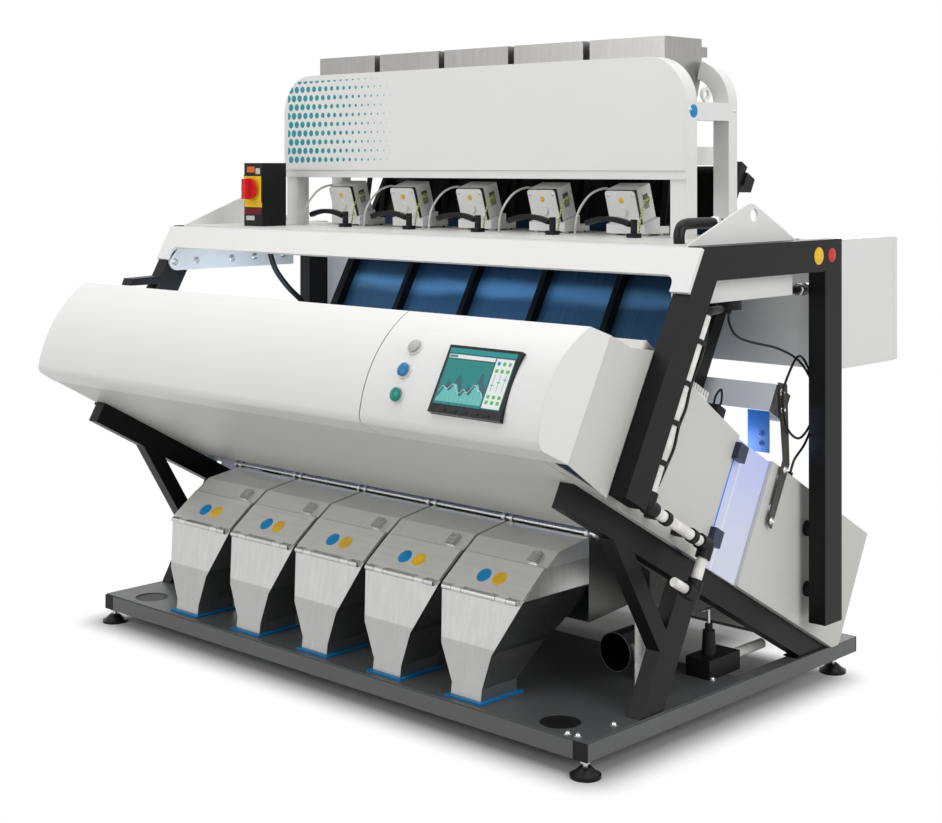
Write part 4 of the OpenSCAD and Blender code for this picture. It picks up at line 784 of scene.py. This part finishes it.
def earth_coat():
    """Yellow and green stripes of an earth wire."""
    f = Finish("earth_coat", Roughness=0.4)
    _, y, z = f.xyz()
    stripe = ((y + z) * 70.0) % 1.0 > 0.6
    f.set(Base_Color=f.mix(stripe, rgb(0.5, 0.5, 0.02), rgb(0.04, 0.25, 0.04)))
    return f


bracket_blue = powder_coat("bracket_blue", rgb(0.02, 0.13, 0.45), 0.35)
piece("air_hoses", "machine", air_hoses, [black_rubber])
piece("hose_rings", "machine", hose_rings, [plated_steel])
piece("earth_wires", "machine", earth_wires, [earth_coat()])
piece("roof_plug", "machine", roof_plug, [black_plastic])
piece("roof_vent", "machine", roof_vent, [white_coat], smooth=False)
piece("beam_bracket", "machine", beam_bracket, [bracket_blue], smooth=False)


def drive_dots(bm):
    """A plain dot on the cover of each feeder drive."""
    for x in CHUTES:
        disc(bm, drive_spot(x * 1000, 82), drive_out, 0.02)


piece("drive_dots", "machine", drive_dots, [dot_yellow])
piece("rail_dot", "machine", lambda bm: disc(bm, spot(962, 760, 1860), X_AXIS, 0.042), [dot_blue])
for colour, finish, y, d in (("yellow", dot_yellow, 1007, 0.055), ("red", dot_red, 1085, 0.045)):
    piece(f"beam_dot_{colour}", "machine", lambda bm: disc(bm, spot(FRAME_X, y, 1404), X_AXIS, d),
          [finish])


def floor_coat():
    """Pale floor with the machine's shadow at its foot; farther out it is plain white to the eye."""
    f = Finish("floor_pale", Roughness=0.85, Specular_IOR_Level=0.1)
    f.set(Base_Color=f.mix(f.noise(0.6, 2) * 0.05, rgb(0.62, 0.62, 0.62), rgb(0.56, 0.56, 0.56)))
    x, y, _ = f.xyz()

    def outside(half_x, mid_y, half_y, fade):
        over_x, over_y = (abs(x) - half_x).top(0.0), (abs(y - mid_y) - half_y).top(0.0)
        return (over_x * over_x + over_y * over_y).root().soft(0.0, fade)

    far = outside(1.13, 0.0, 0.61, 0.17).low(outside(0.6, 0.5, 0.55, 0.32))
    white = f.node("ShaderNodeEmission", inputs={"Color": rgb(1, 1, 1), "Strength": 1.0})
    plain = Value(f, f.surface.outputs["BSDF"])
    f.feed(f.tree.nodes["Material Output"].inputs["Surface"],
           f.node("ShaderNodeMixShader", inputs={0: far * f.seen(), 1: plain, 2: white}))
    return f


def floor_sheet():
    """Floor under the machine, far wider than the view."""
    mesh = bpy.data.meshes.new("studio_floor")
    size = 60
    corners = [(-size, -size, 0), (size, -size, 0), (size, size, 0), (-size, size, 0)]
    mesh.from_pydata(corners, [], [(0, 1, 2, 3)])
    mesh.materials.append(floor_coat().material)
    obj = bpy.data.objects.new("studio_floor", mesh)
    bpy.context.collection.objects.link(obj)


floor_sheet()


def studio_light():
    """A white surround and large soft boxes at a plain level."""
    world = bpy.data.worlds.new("studio")
    bpy.context.scene.world = world
    sky = Sheet(world)
    back = sky.tree.nodes["Background"]
    sky.feed(back.inputs["Color"], rgb(1, 1, 1))
    sky.feed(back.inputs["Strength"], 0.36 + sky.seen() * 0.64)

    def soft_box(name, place, aim, size, power, colour=(1, 1, 1)):
        data = bpy.data.lights.new(name, "AREA")
        data.shape = "RECTANGLE"
        data.size, data.size_y = size
        data.energy, data.color = power, colour
        lamp = bpy.data.objects.new(name, data)
        lamp.location = place
        lamp.rotation_euler = (Vector(aim) - Vector(place)).to_track_quat("-Z", "Y").to_euler()
        bpy.context.collection.objects.link(lamp)

    soft_box("overhead_box", (0.2, -0.4, 5.2), (0, 0, 0.5), (6.0, 5.0), 150)
    soft_box("front_box", (-1.5, -6.0, 3.4), (0, 0, 1.0), (4.0, 3.0), 112)
    soft_box("right_box", (6.0, -0.5, 3.0), (0, 0.2, 0.9), (3.0, 3.0), 116)
    soft_box("back_box", (-3.0, 5.5, 3.2), (0, 0.4, 0.9), (4.0, 3.0), 70)
    # The sorting lamps' spill at both ends of the gap and on the chutes
    pale_blue, chute_blue = (0.72, 0.84, 1.0), (0.6, 0.78, 1.0)
    soft_box("spill_right", spot(1010, 830, 800), spot(1080, 960, 960), (0.2, 0.1), 0.5, pale_blue)
    soft_box("spill_chutes", spot(-160, 560, 1110), spot(-160, 990, 1290), (0.8, 0.12), 1.1, chute_blue)
    soft_box("spill_left", spot(-900, 560, 1130), spot(-1150, 570, 1330), (0.4, 0.3), 1.3, pale_blue)


studio_light()
bpy.context.scene.view_settings.view_transform = "Standard"
